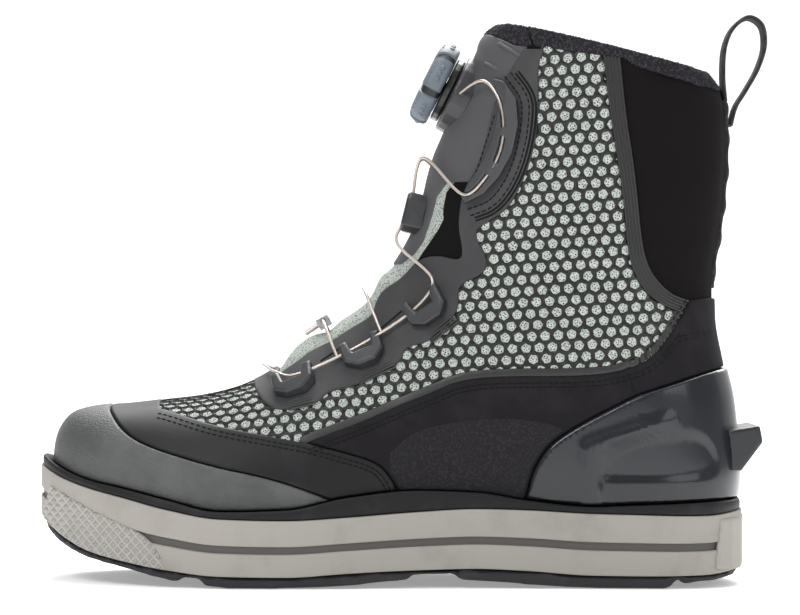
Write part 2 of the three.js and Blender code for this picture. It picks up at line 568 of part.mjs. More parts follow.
// The closed form of the upper at a distance from its outer face, run on below the seat and above the collar
function upperForm(offset, below = 0, above = 0) {
  const columns = acrossCount * 2 + 1;
  const rows = sectionCount + 1;
  const sheet = [];
  const onSeat = [];
  for (let i = 0; i < rows; i++) {
    const u = i / sectionCount;
    const fan = fanAt(u);
    onSeat.push(fan.onSeat);
    const both = fan.onSeat ? smooth(0.22, 0.03, alongAt(fan.low.x)) : 1;
    for (let j = 0; j < columns; j++) {
      const side = j < acrossCount ? -1 : 1;
      const s = 1 - Math.abs(j - acrossCount) / acrossCount;
      const t = mix(Math.sin(s * Math.PI / 2), (1 - Math.cos(Math.PI * s)) / 2, both);
      sheet.push(upperPoint(u, t, side));
    }
  }
  const lastRow = (rows - 1) * columns;
  const collarLine = sheet[lastRow + acrossCount].clone().sub(sheet[lastRow]).setY(0).normalize();
  const rise = new THREE.Vector3(collarLine.z, 0, -collarLine.x);
  if (rise.z < 0) rise.negate();
  const faces = [];
  for (let i = 0; i + 1 < rows; i++) {
    for (let j = 0; j + 1 < columns; j++) {
      const a = i * columns + j;
      faces.push(a, a + 1, a + columns + 1, a, a + columns + 1, a + columns);
    }
  }
  const moved = offsetSheet(sheet, faces, offset, (k) => {
    const edge = k % columns === 0 || k % columns === columns - 1;
    return edge && onSeat[Math.floor(k / columns)];
  });
  const positions = moved.flatMap((p) => [p.x, p.y, p.z]);
  const indices = [...faces];
  const push = (p) => positions.push(p.x, p.y, p.z) / 3 - 1;
  // Foot of the form: walls run down from the seat and close across
  const feet = [];
  for (let i = 0; i < rows && onSeat[i]; i++) {
    const [l, r] = [i * columns, i * columns + columns - 1];
    const drop = (k) => push(moved[k].clone().setZ(moved[k].z - below));
    feet.push({ l, r, dl: below > 0 ? drop(l) : l, dr: below > 0 ? drop(r) : r });
  }
  for (let i = 0; i + 1 < feet.length; i++) {
    const [a, b] = [feet[i], feet[i + 1]];
    if (below > 0) {
      indices.push(a.l, b.l, b.dl, a.l, b.dl, a.dl, a.r, b.dr, b.r, a.r, a.dr, b.dr);
    }
    indices.push(a.dl, b.dl, b.dr, a.dl, b.dr, a.dr);
  }
  // Head of the form: the collar section runs on and closes across
  const ring = [];
  for (let j = 0; j < columns; j++) {
    const k = lastRow + j;
    ring.push(above > 0 ? push(moved[k].clone().addScaledVector(rise, above)) : k);
  }
  for (let j = 0; j + 1 < columns; j++) {
    if (above > 0) {
      const [a, b] = [lastRow + j, lastRow + j + 1];
      indices.push(a, b, ring[j + 1], a, ring[j + 1], ring[j]);
    }
    const far = columns - 1 - j;
    if (j < acrossCount) indices.push(ring[j], ring[j + 1], ring[far - 1], ring[j], ring[far - 1], ring[far]);
  }
  return solidOf(positions, indices);
}

// Moves a sheet's points along its smooth normals; points on the seat move level
function offsetSheet(sheet, faces, offset, level) {
  const geometry = new THREE.BufferGeometry();
  const flat = sheet.flatMap((p) => [p.x, p.y, p.z]);
  geometry.setAttribute('position', new THREE.Float32BufferAttribute(flat, 3));
  geometry.setIndex(faces);
  const key = (p) => `${p.x.toFixed(3)},${p.y.toFixed(3)},${p.z.toFixed(3)}`;
  const sums = new Map();
  for (let i = 0; i < faces.length; i += 3) {
    const [a, b, c] = [sheet[faces[i]], sheet[faces[i + 1]], sheet[faces[i + 2]]];
    const n = b.clone().sub(a).cross(c.clone().sub(a));
    for (const p of new Set([key(a), key(b), key(c)])) {
      if (!sums.has(p)) sums.set(p, new THREE.Vector3());
      sums.get(p).add(n);
    }
  }
  let outward = 0;
  sheet.forEach((p, k) => {
    outward += Math.sign(sums.get(key(p)).y * (p.y - centreAt(alongAt(p.x))));
  });
  return sheet.map((p, k) => {
    const n = sums.get(key(p)).clone().multiplyScalar(Math.sign(outward));
    if (level(k)) n.z = 0;
    return p.clone().addScaledVector(n.normalize(), offset);
  });
}

const forms = new Map();
function form(offset, below = 0, above = 0) {
  const key = `${offset},${below},${above}`;
  if (!forms.has(key)) forms.set(key, upperForm(offset, below, above));
  return forms.get(key);
}

// Points of outline rows on the side view, and prisms that cut along them
const toPoints = (...edges) => edges.flat().map((row) => new THREE.Vector2(xAt(row.at), row.up * bootHeight));
const reversed = (edge) => [...edge].reverse();
const zone = (...edges) => sidePrism(grown(toPoints(...edges), -panelEase));
const hole = (...edges) => sidePrism(toPoints(...edges));

// Lines that close the outlines well outside the boot
const overCuff = [{ at: -0.08, up: 1.2 }, { at: 0.40, up: 1.2 }, { at: 0.40, up: 0.954 }];
const throatFar = [
  { at: 0.668, up: 0.45 }, { at: 0.90, up: 0.80 }, { at: 0.60, up: 1.20 }, { at: 0.317, up: 1.20 },
];
const tongueFar = [{ at: 0.20, up: 0.93 }, { at: 0.10, up: 1.2 }, { at: 0.44, up: 1.2 }];
const footLine = 0.05;

// Half of all space, on one side of the boot's middle
const middleGap = 2;
const sideBox = (side) => solidFrom(new THREE.BoxGeometry(soleLength * 2, ballWidth, bootHeight * 3)
  .translate(0, side * (ballWidth / 2 + middleGap), 0));

// Everything under a line just over the rim
function underRim() {
  const height = (along) => (rimAt(along) + rimClearance) / bootHeight;
  const end = (bandEase + rimTop) / soleLength;
  const line = solePlaces.map((place) => mix(end, 1 - end, place)).map((at) => ({ at, up: height(at) }));
  const heel = [{ at: -0.1, up: -0.1 }, { at: -0.1, up: height(0) }];
  const toe = [{ at: 1.1, up: height(1) }, { at: 1.1, up: -0.1 }];
  return hole(heel, line, toe);
}

const belowRim = underRim();
const cuffRoom = sidePrism(grown(toPoints(cuffLow, overCuff), gap));

// An overlay on the upper's face, of a thickness, within an area
const panel = (thickness, area) => form(thickness).subtract(form(gap, cutReach, cutReach)).intersect(area)
  .subtract(cuffRoom);
const lowPanel = (thickness, ...edges) => panel(thickness, zone(...edges)).subtract(belowRim);

function tinted(color, roughness, metalness = 0) {
  return new THREE.MeshStandardMaterial({ color, roughness, metalness });
}

// A wall with the sole's plan, between two insets
const sleeve = (outer, inner) => soleBody([
  { inset: outer, height: () => -cutReach }, { inset: outer, height: () => bootHeight },
]).subtract(soleBody([
  { inset: inner, height: () => -cutReach * 2 }, { inset: inner, height: () => bootHeight + cutReach },
]));
const soleCore = (inset) => soleBody([
  { inset, height: () => -cutReach }, { inset, height: () => cutReach * 2 },
]);
const soleZone = (edge, grow) => sidePrism(grown(
  edge.map((row) => new THREE.Vector2(xAt(row.at), row.up * soleHeight)), grow));

// Midsole with its groove, and seats for the toe bumper and the heel plate
function makeMidsole() {
  const band = (share) => (along) => mix(baseAt(along), seatAt(along), share);
  const body = soleBody([
    { inset: midsoleTaper, height: baseAt },
    { inset: midsoleEdge, height: band(0.12) },
    { inset: 0, height: band(grooveLow) },
    { inset: grooveDepth, height: band(grooveLow + grooveSlope) },
    { inset: grooveDepth, height: band(grooveHigh - grooveSlope) },
    { inset: 0, height: band(grooveHigh) },
    { inset: 0, height: band(0.94) },
    { inset: bandEase, height: band(1) },
  ]);
  return body
    .subtract(sleeve(-2, bumperSeat + gap).intersect(soleZone(bumperEdge, gap)))
    .subtract(sleeve(-2, plateSeat + gap).intersect(soleZone(plateEdge, gap)));
}

function makeBumper() {
  const band = soleBody([
    { inset: -bumperStep, height: baseAt },
    { inset: -bumperStep, height: (along) => seatAt(along) - gap },
  ]);
  return band.intersect(sleeve(-bumperStep, bumperSeat)).intersect(soleZone(bumperEdge, 0));
}

add('midsole', makeMidsole(), tinted(0x969288, 0.7));
add('toe_bumper', makeBumper(), tinted(0xa3a19c, 0.75));
add('heel_plate', sleeve(-plateStep, plateSeat).intersect(soleZone(plateEdge, 0)), tinted(0x8f8d86, 0.6));

// Blocks along the edge of the tread, notched on their inner sides
function makeEdgeBlocks() {
  const slabs = edgeBlocks.map((row) => {
    const long = (row.to - row.from) * soleLength;
    return solidFrom(new THREE.BoxGeometry(long, ballWidth * 2, soleHeight * 2)
      .translate(xAt((row.from + row.to) / 2), 0, 0));
  });
  const notches = [];
  for (const row of edgeBlocks.slice(1)) {
    const count = Math.round((row.to - row.from) * soleLength / notchPitch);
    for (let i = 1; i < count; i++) {
      const at = mix(row.from, row.to, i / count);
      const notch = new THREE.BoxGeometry(edgeNotch, ballWidth, soleHeight * 2);
      notches.push(solidFrom(notch.translate(xAt(at), 0, 0)));
    }
  }
  const width = edgeWidth * ballWidth;
  const cuts = wasm.Manifold.union(notches).intersect(soleCore(treadInset + width * notchInset));
  return wasm.Manifold.union(slabs).subtract(soleCore(treadInset + width)).subtract(cuts);
}

// Slanted bars in the middle of the tread, two beside each other or one across
function makeMiddleBars() {
  const bars = [];
  for (const row of middleRows) {
    const at = (row.from + row.to) / 2;
    const long = (row.to - row.from) * soleLength;
    const width = middleWidth * ballWidth * (3 - row.lanes) - laneGap;
    for (let i = 0; i < row.lanes; i++) {
      const side = row.lanes === 1 ? 0 : i * 2 - 1;
      const matrix = new THREE.Matrix4().makeRotationZ(side * middleTurn);
      matrix.setPosition(xAt(at), centreAt(at) + side * middleWidth * ballWidth / 2, 0);
      bars.push(solidFrom(new THREE.BoxGeometry(long, width, soleHeight * 2), matrix));
    }
  }
  return wasm.Manifold.union(bars).intersect(soleCore(treadInset + edgeWidth * ballWidth + laneGap));
}

function makeOutsole() {
  const plate = soleBody([
    { inset: treadInset + plateBevel, height: (along) => baseAt(along) - gap - treadPlate },
    { inset: treadInset, height: (along) => baseAt(along) - gap },
  ]);
  const block = soleBody([
    { inset: treadInset + blockTaper, height: treadAt },
    { inset: treadInset + blockTopTaper, height: (along) => baseAt(along) - gap - treadPlate / 2 },
  ]);
  return plate.add(block.intersect(makeEdgeBlocks().add(makeMiddleBars())));
}
add('outsole', makeOutsole(), tinted(0x1c1c1d, 0.85));

// Rim round the feather line, and the insole
function makeRim() {
  return soleBody([
    { inset: bandEase, height: (along) => seatAt(along) + gap },
    { inset: bandEase, height: (along) => rimAt(along) - rimTop },
    { inset: bandEase + rimTop, height: rimAt },
  ]).subtract(form(gap, cutReach));
}
function makeInsole() {
  return soleBody([
    { inset: rimStep, height: (along) => seatAt(along) + gap },
    { inset: rimStep, height: (along) => seatAt(along) + gap + insoleThickness },
  ]).intersect(form(-wall - gap, cutReach));
}
add('rim', makeRim(), tinted(0x232324, 0.6));
add('insole', makeInsole(), tinted(0x4a4a4c, 0.9));

// Upper: one wall, open underneath, at the throat and at the collar
function makeUpper() {
  const underSeat = soleBody([
    { inset: bandEase, height: () => -cutReach },
    { inset: bandEase, height: (along) => seatAt(along) + gap },
  ]);
  return form(0).subtract(form(-wall, cutReach, cutReach))
    .subtract(underSeat)
    .subtract(hole(throatEdge, throatFar))
    .subtract(hole(cuffLow, overCuff));
}
add('upper', makeUpper(), tinted(0x1d1b1b, 0.85));

// Overlays of toe and vamp
function makeToeCap() {
  const foot = [{ at: 0.53, up: footLine }, { at: 1.1, up: footLine }, { at: 1.1, up: 0.4 }];
  return lowPanel(capThickness, capEdge, foot);
}
function makeToeGuard() {
  const foot = [{ at: 0.478, up: footLine }, { at: 0.53, up: footLine }];
  return lowPanel(overlayThickness, guardEdge, guardBack.slice(1), foot, reversed(capEdge));
}
function makeMeshPanel() {
  const edges = [guardEdge, hexLow.slice(1), reversed(ribLeft).slice(1), reversed(hexFront)];
  return panel(filmThickness, zone(...edges));
}
function makeQuarter() {
  const foot = [{ at: 0.478, up: footLine }, { at: 0.318, up: footLine }];
  const top = [...reversed(quarterTop), ...reversed(hexLow).slice(0, -1)];
  return lowPanel(overlayThickness, guardBack, foot, counterEdge, top);
}
function makeEyestay() {
  const throat = [{ at: 0.317, up: 0.952 }, ...throatEdge.slice(1), { at: 0.668, up: 0.45 }];
  return panel(overlayThickness, zone(hexFront, throat));
}
add('toe_cap', makeToeCap(), tinted(0x4b4e4e, 0.65));
add('toe_guard', makeToeGuard(), tinted(0x232324, 0.5));
add('mesh_panel', makeMeshPanel(), tinted(0xa9b0a8, 0.7));
add('quarter', makeQuarter(), tinted(0x2d2c2e, 0.8));
add('eyestay', makeEyestay(), tinted(0x464648, 0.6));

// Heel counter with its raised ridge
function makeCounter() {
  const foot = [{ at: 0.318, up: footLine }, { at: -0.06, up: footLine }];
  const ridge = form(counterThickness + ridgeThickness)
    .subtract(form(counterThickness - gap, cutReach, cutReach))
    .intersect(hole(counterRidge)).subtract(belowRim);
  return lowPanel(counterThickness, reversed(counterEdge), foot).add(ridge);
}
add('heel_counter', makeCounter(), tinted(0x3a3f45, 0.3));

for (const [side, word] of [[-1, 'outer'], [1, 'inner']]) {
  const strip = panel(overlayThickness, zone(ribLeft, reversed(ribRight))).intersect(sideBox(side));
  add(`rib_strip_${word}`, strip, tinted(0x1f1e20, 0.6));
}

// Padded bindings of the collar and of the tongue's top
function makeCollarBinding() {
  return form(cuffThickness).subtract(form(-wall - cuffPadding, cutReach, cutReach))
    .intersect(zone(notch.slice(0, -1), cuffLow, [{ at: -0.08, up: 1.2 }]));
}
function makeTongueBinding() {
  return form(tongueCuffThickness).subtract(form(-wall - tongueCuffPadding, cutReach, cutReach))
    .intersect(zone(tongueCuff, reversed(notch.slice(0, -1)), [{ at: 0.44, up: 1.2 }]));
}
add('collar_binding', makeCollarBinding(), tinted(0x2d2a30, 0.8));
add('tongue_binding', makeTongueBinding(), tinted(0x2d2a30, 0.8));

// Tongue: a flange under the throat's edge and a pad that fills the throat
function makeTongue() {
  const out = wall + gap;
  const inside = form(-out - tongueThickness, cutReach, cutReach);
  const area = toPoints(throatEdge, throatFar);
  const flange = form(-out).subtract(inside).intersect(sidePrism(grown(area, flangeWidth)));
  const pad = form(-padSink).subtract(inside).intersect(sidePrism(grown(area, -padEase)));
  return flange.add(pad).subtract(sidePrism(grown(toPoints(tongueCuff, tongueFar), gap)));
}
add('tongue', makeTongue(), tinted(0x9aa29a, 0.85));

// Webbing strip and moulded ledge at the back
function makeBackWebbing() {
  const high = (webbingHigh - webbingLow) * bootHeight;
  const strip = new THREE.BoxGeometry(shaftWidth, webbingWidth, high)
    .translate(heelBack, 0, webbingLow * bootHeight + high / 2);
  return panel(overlayThickness, solidFrom(strip));
}
function makeLedge() {
  const band = new THREE.BoxGeometry(shaftWidth, ledgeWidth, bootHeight * 2).translate(heelBack, 0, 0);
  return form(ledgeReach).subtract(form(counterThickness + gap, cutReach, cutReach))
    .intersect(hole(ledgeSide)).intersect(solidFrom(band));
}
add('back_webbing', makeBackWebbing(), tinted(0x3c3c40, 0.8));
add('heel_ledge', makeLedge(), tinted(0x25272a, 0.4));

// A ribbon along a line on the side view
function ribbon(line, width, thickness) {
  const curve = new THREE.CatmullRomCurve3(toPoints(line).map((p) => new THREE.Vector3(p.x, p.y, 0)));
  const points = curve.getPoints(line.length * 2);
  const out = [];
  const back = [];
  points.forEach((p, i) => {
    const t = curve.getTangent(i / (points.length - 1));
    const n = new THREE.Vector2(-t.y, t.x).multiplyScalar(thickness / 2);
    out.push(new THREE.Vector2(p.x + n.x, p.y + n.y));
    back.unshift(new THREE.Vector2(p.x - n.x, p.y - n.y));
  });
  return sidePrism([...out, ...back], -width / 2, width / 2);
}

function makePullLoop() {
  return ribbon(loopLine, loopWidth, loopThickness)
    .subtract(form(overlayThickness + gap))
    .subtract(cuffRoom.intersect(form(cuffThickness + gap, 0, cutReach)));
}
add('pull_loop', makePullLoop(), tinted(0x3f4044, 0.8));

// Place on the upper's side: the fan's u and t for a point of the side view
function locate(at, up) {
  const [x, z] = [xAt(at), up * bootHeight];
  let best = { u: 0, t: 0, far: Infinity };
  const look = (u, t) => {
    const fan = fanAt(u);
    const far = Math.hypot(mix(fan.low.x, fan.top.x, t) - x, mix(fan.low.y, fan.top.y, t) - z);
    if (far < best.far) best = { u, t, far };
  };
  for (let u = 0; u <= 1; u += 0.02) for (let t = 0; t <= 1; t += 0.05) look(u, t);
  for (let step = 0.01; step > 1e-5; step /= 2) {
    for (let k = 0; k < 6; k++) {
      const { u, t } = best;
      for (const [du, dt] of [[1, 0], [-1, 0], [0, 1], [0, -1], [1, 1], [-1, -1], [1, -1], [-1, 1]]) {
        look(Math.min(Math.max(u + du * step, 0), 1), Math.min(Math.max(t + dt * step, 0), 1));
      }
    }
  }
  return best;
}

// A point over the upper's face at a height along its normal
function over(place, side, lift) {
  const { u, t } = locate(place.at, place.up);
  return upperPoint(u, t, side).addScaledVector(upperNormal(u, t, side), lift);
}

// A point over the ridge line of the tongue and vamp, aside by a distance
function overRidge(at, lift, aside = 0) {
  let [low, high] = [0.05, 1];
  for (let i = 0; i < 30; i++) {
    const u = (low + high) / 2;
    if (alongAt(fanAt(u).top.x) > at) low = u;
    else high = u;
  }
  const here = fanAt(low).top;
  const next = fanAt(low + 0.02).top;
  const n = new THREE.Vector2(-(next.y - here.y), next.x - here.x).normalize();
  return new THREE.Vector3(here.x + n.x * lift, aside, here.y + n.y * lift);
}

// A tube along a smooth line
function tube(curve, radius, steps) {
  const shape = new THREE.Shape();
  for (let i = 0; i <= cableSides; i++) {
    const a = i / cableSides * Math.PI * 2;
    shape[i ? 'lineTo' : 'moveTo'](Math.cos(a) * radius, Math.sin(a) * radius);
  }
  return solidFrom(new THREE.ExtrudeGeometry(shape, { steps, extrudePath: curve, bevelEnabled: false }));
}

const smoothLine = (points) => new THREE.CatmullRomCurve3(points, false, 'centripetal');

// Route of the cable down one side. It lies over the upper's side where up is given, and over the
// ridge, aside by a distance, elsewhere. lift is the height over the guides' own line of the cable.
const guideLift = overlayThickness + cableLift;
const [lowGuide, middleGuide, highGuide] = lowerGuides;
const cableRoute = [
  { at: dialAt + 0.006, aside: 11.4, lift: -1.4 },
  { at: 0.362, up: 0.893, lift: 0 },
  { at: 0.345, up: 0.862, lift: -0.6 },
  { at: 0.339, up: 0.815, lift: -0.8 },
  { at: 0.346, up: 0.765, lift: -0.8 },
  { at: 0.364, up: 0.722, lift: -0.6 },
  { at: 0.390, up: 0.690, lift: 0 },
  { at: tongueGuideAt - 0.018, aside: 9, lift: 0.2 },
  { at: tongueGuideAt, aside: 6, lift: -0.6 },
  { at: tongueGuideAt + 0.018, aside: 9, lift: 0.2 },
  { at: 0.437, up: 0.535, lift: -0.4 },
  { ...highGuide, lift: -cableSink },
  { ...middleGuide, lift: -cableSink },
  { ...lowGuide, lift: -cableSink },
  { at: 0.655, up: 0.362, lift: -0.4 },
  { at: 0.672, aside: 0, lift: 0.6 },
];
const cableRun = (side) => smoothLine(cableRoute.map((row) => (row.up === undefined
  ? overRidge(row.at, guideLift + row.lift, side * row.aside)
  : over(row, side, guideLift + row.lift))));
const runs = { outer: cableRun(-1), inner: cableRun(1) };

// A bar across the ridge, from one leg of the middle guide to the same leg on the other side
const barAside = 13;
const barRise = 1.2;
function crossBar(leg, at, lift) {
  const route = cableRoute.findIndex((row) => row.at === middleGuide.at) / (cableRoute.length - 1);
  const turn = (run) => run.getPoint(route + leg * legSpread / run.getLength());
  const across = [-1, 0, 1].map((side) => overRidge(at, lift + (side === 0 ? barRise : 0), side * barAside));
  return smoothLine([turn(runs.outer), ...across, turn(runs.inner)]);
}

const bars = [crossBar(-1, upperBarAt, 3.2), crossBar(1, clipAt, 3.4)];
const cable = (radius) => wasm.Manifold.union([
  ...Object.values(runs).map((curve) => tube(curve, radius, runSteps)),
  ...bars.map((curve) => tube(curve, radius, barSteps)),
]);
const cableRoom = cable(cableWidth / 2 + cableClearance);
add('lace', cable(cableWidth / 2), tinted(0xb4a69f, 0.35, 0.7));

// Frame on the upper's side: x towards the heel, y towards the ridge, z out
function sideFrame(place, side) {
  const { u, t } = locate(place.at, place.up);
  const z = upperNormal(u, t, side);
  const ridge = upperPoint(u, Math.min(t + 0.05, 0.98), side).sub(upperPoint(u, Math.max(t - 0.05, 0), side));
  const y = ridge.addScaledVector(z, -ridge.dot(z)).normalize();
  return new THREE.Matrix4().makeBasis(y.clone().cross(z), y, z).setPosition(upperPoint(u, t, side));
}

// Frame on the ridge: x across, y up the boot, z out
function ridgeFrame(at) {
  const p = overRidge(at, 0);
  const z = overRidge(at, 10).sub(p).normalize();
  const x = new THREE.Vector3(0, -1, 0);
  return new THREE.Matrix4().makeBasis(x, z.clone().cross(x), z).setPosition(p);
}

// A block raised from an outline, with sloped edges
function block(outline, from, to, slope) {
  const shape = new THREE.Shape(outline.map(([x, y]) => new THREE.Vector2(x, y)));
  return new THREE.ExtrudeGeometry(shape, {
    depth: to - from - 2 * slope, bevelEnabled: true, bevelSize: slope, bevelOffset: -slope,
    bevelThickness: slope, bevelSegments: 1,
  }).translate(0, 0, from + slope);
}

// Guides: three hooks and a long curved one on each side
const guideOutline = [
  [-9.5, 3.5], [-9, -6.5], [-3.5, -10.5], [4.5, -10.5], [9.5, -6], [10, 3.5], [5.8, 4], [4.4, -3], [-4, -3],
  [-5.6, 4],
];
const clearOf = (solid, thickness) => solid.subtract(form(thickness + gap)).subtract(cableRoom);

function makeGuide(place, side) {
  const outline = side < 0 ? guideOutline : reversed(guideOutline).map(([x, y]) => [-x, y]);
  const raised = solidFrom(block(outline, -guideDepth, guideHeight, guideSlope), sideFrame(place, side));
  return clearOf(raised, overlayThickness);
}
function makeTopGuide(side) {
  return form(overlayThickness + upperGuideHeight)
    .subtract(form(overlayThickness + gap, cutReach, cutReach))
    .intersect(hole(upperGuideSide)).intersect(sideBox(side)).subtract(cableRoom);
}
for (const [side, word] of [[-1, 'outer'], [1, 'inner']]) {
  lowerGuides.forEach((place, i) => {
    add(`guide_${word}_${i + 1}`, makeGuide(place, side), tinted(0x2a2c2f, 0.45));
  });
  add(`top_guide_${word}`, makeTopGuide(side), tinted(0x3a3c40, 0.5));
}

// Guide on the tongue, and the clip on the lower bar
const tongueGuideOutline = [[-12, -6], [-9, -9], [9, -9], [12, -6], [12, 6], [9, 9], [-9, 9], [-12, 6]];
function makeTongueGuide() {
  const raised = block(tongueGuideOutline, -tongueGuideDepth, tongueGuideHeight, tongueGuideSlope);
  return clearOf(solidFrom(raised, ridgeFrame(tongueGuideAt)), 0);
}
function makeClip() {
  const box = new THREE.BoxGeometry(clipLength, clipWidth, clipThickness).translate(0, 0, clipLift);
  return clearOf(solidFrom(box, ridgeFrame(clipAt)), 0);
}
add('tongue_guide', makeTongueGuide(), tinted(0x34363a, 0.5));
add('cable_clip', makeClip(), tinted(0x77787a, 0.4, 0.6));

// Dial: a base on the tongue, a housing and a ribbed knob, tilted up the shaft
const dialFrame = ridgeFrame(dialAt);
const round = (radius, count, dent = 0) => Array.from({ length: count }, (_, i) => {
  const a = i / count * Math.PI * 2;
  const r = radius - (i % 4 === 0 ? dent : 0);
  return [Math.cos(a) * r, Math.sin(a) * r];
});
function makeDialBase() {
  const outline = round(dialWidth / 2 - dialBaseStep, dialSides);
  const disc = block(outline, -dialBaseDepth, dialBaseTop, dialBaseStep);
  return clearOf(solidFrom(disc, dialFrame), 0);
}
function makeHousing() {
  const outline = round(dialWidth / 2 - housingStep, dialSides);
  return solidFrom(block(outline, dialBaseTop + gap, dialBaseTop + housingHeight, housingSlope), dialFrame);
}
function makeKnob() {
  const low = dialBaseTop + housingHeight;
  const outline = round(dialWidth / 2, knobSides, knobDent);
  return solidFrom(block(outline, low + gap, low + dialHeight, knobSlope), dialFrame);
}
add('dial_base', makeDialBase(), tinted(0x2b2c2e, 0.5));
add('dial_housing', makeHousing(), tinted(0x141415, 0.4));
add('dial_knob', makeKnob(), tinted(0x97a0aa, 0.45));

export default group;
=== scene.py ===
# Looks of the left wading boot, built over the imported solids. Sizes in the tables are millimetres
# and shares of the sole length and the boot height, as in the part; Blender's units are metres.
import math

import bpy
import numpy as np
from mathutils import Matrix, Vector


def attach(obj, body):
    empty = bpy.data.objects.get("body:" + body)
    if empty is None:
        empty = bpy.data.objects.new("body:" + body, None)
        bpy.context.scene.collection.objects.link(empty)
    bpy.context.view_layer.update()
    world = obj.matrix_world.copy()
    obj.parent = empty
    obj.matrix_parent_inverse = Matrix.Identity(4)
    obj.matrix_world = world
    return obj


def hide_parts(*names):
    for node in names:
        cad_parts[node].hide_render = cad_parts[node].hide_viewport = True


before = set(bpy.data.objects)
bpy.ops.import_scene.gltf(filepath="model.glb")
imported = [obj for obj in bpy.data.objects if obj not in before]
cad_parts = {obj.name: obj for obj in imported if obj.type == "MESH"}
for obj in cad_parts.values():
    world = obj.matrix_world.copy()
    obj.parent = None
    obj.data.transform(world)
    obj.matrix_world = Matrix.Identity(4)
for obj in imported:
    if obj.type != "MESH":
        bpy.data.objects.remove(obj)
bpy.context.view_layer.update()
print("frame loaded")

# Camera: the photo's own view of the outer side, rolled a little
soleLength = 315.0
heelBack = 39.0
bootHeight = 248.0
camera = bpy.data.objects.new("camera", bpy.data.cameras.new("camera"))
bpy.context.scene.collection.objects.link(camera)
bpy.context.scene.camera = camera
camera.data.sensor_width = 36
camera.data.lens = 140
camera.matrix_world = (
    Matrix.Translation((-0.11475, -1.4, 0.122))
    @ Matrix.Rotation(math.pi / 2, 4, "X")
    @ Matrix.Rotation(math.radians(0.36), 4, "Z")
)
bpy.context.scene.view_settings.view_transform = "Standard"

# The shape of the boot, the same as the solids'
ballWidth = 118.0
shaftWidth = 88.0
soleHeight = 32.0
gap = 0.3
rimStep = 5.6
tuck = 0.05
heelRound = 42.0
collarRound = 47.0
toeRound = 90.0
planTable = [
    # at, outer, inner, centre
    (0.00, 0.370, 0.370, 0.000),
    (0.12, 0.372, 0.368, 0.000),
    (0.25, 0.378, 0.350, 0.000),
    (0.38, 0.392, 0.338, 0.000),
    (0.50, 0.430, 0.366, 0.004),
    (0.62, 0.482, 0.432, 0.012),
    (0.72, 0.502, 0.468, 0.022),
    (0.82, 0.488, 0.462, 0.036),
    (0.92, 0.458, 0.440, 0.050),
    (1.00, 0.430, 0.420, 0.058),
]
sideTable = [
    # at, tread, base, seat, rim
    (0.000, 0.150, 0.240, 1.045, 1.190),
    (0.060, 0.085, 0.178, 0.985, 1.165),
    (0.094, 0.082, 0.172, 0.988, 1.150),
    (0.106, 0.000, 0.170, 0.990, 1.145),
    (0.150, 0.000, 0.168, 1.000, 1.130),
    (0.220, 0.000, 0.175, 1.015, 1.105),
    (0.310, 0.045, 0.235, 1.060, 1.190),
    (0.380, 0.100, 0.262, 1.075, 1.295),
    (0.460, 0.120, 0.245, 1.035, 1.320),
    (0.560, 0.030, 0.200, 0.960, 1.220),
    (0.645, 0.000, 0.149, 0.914, 1.050),
    (0.735, 0.000, 0.159, 0.932, 1.026),
    (0.810, 0.100, 0.232, 1.050, 1.175),
    (0.870, 0.240, 0.330, 1.190, 1.310),
    (0.920, 0.340, 0.440, 1.300, 1.405),
    (0.960, 0.500, 0.620, 1.420, 1.540),
    (1.000, 0.800, 0.900, 1.600, 1.750),
]
shaftTable = [
    # at, half
    (0.10, 0.440),
    (0.30, 0.436),
    (0.40, 0.422),
    (0.50, 0.424),
    (0.60, 0.442),
    (0.70, 0.462),
    (0.80, 0.480),
    (0.90, 0.493),
    (1.00, 0.500),
]
onSeat = None
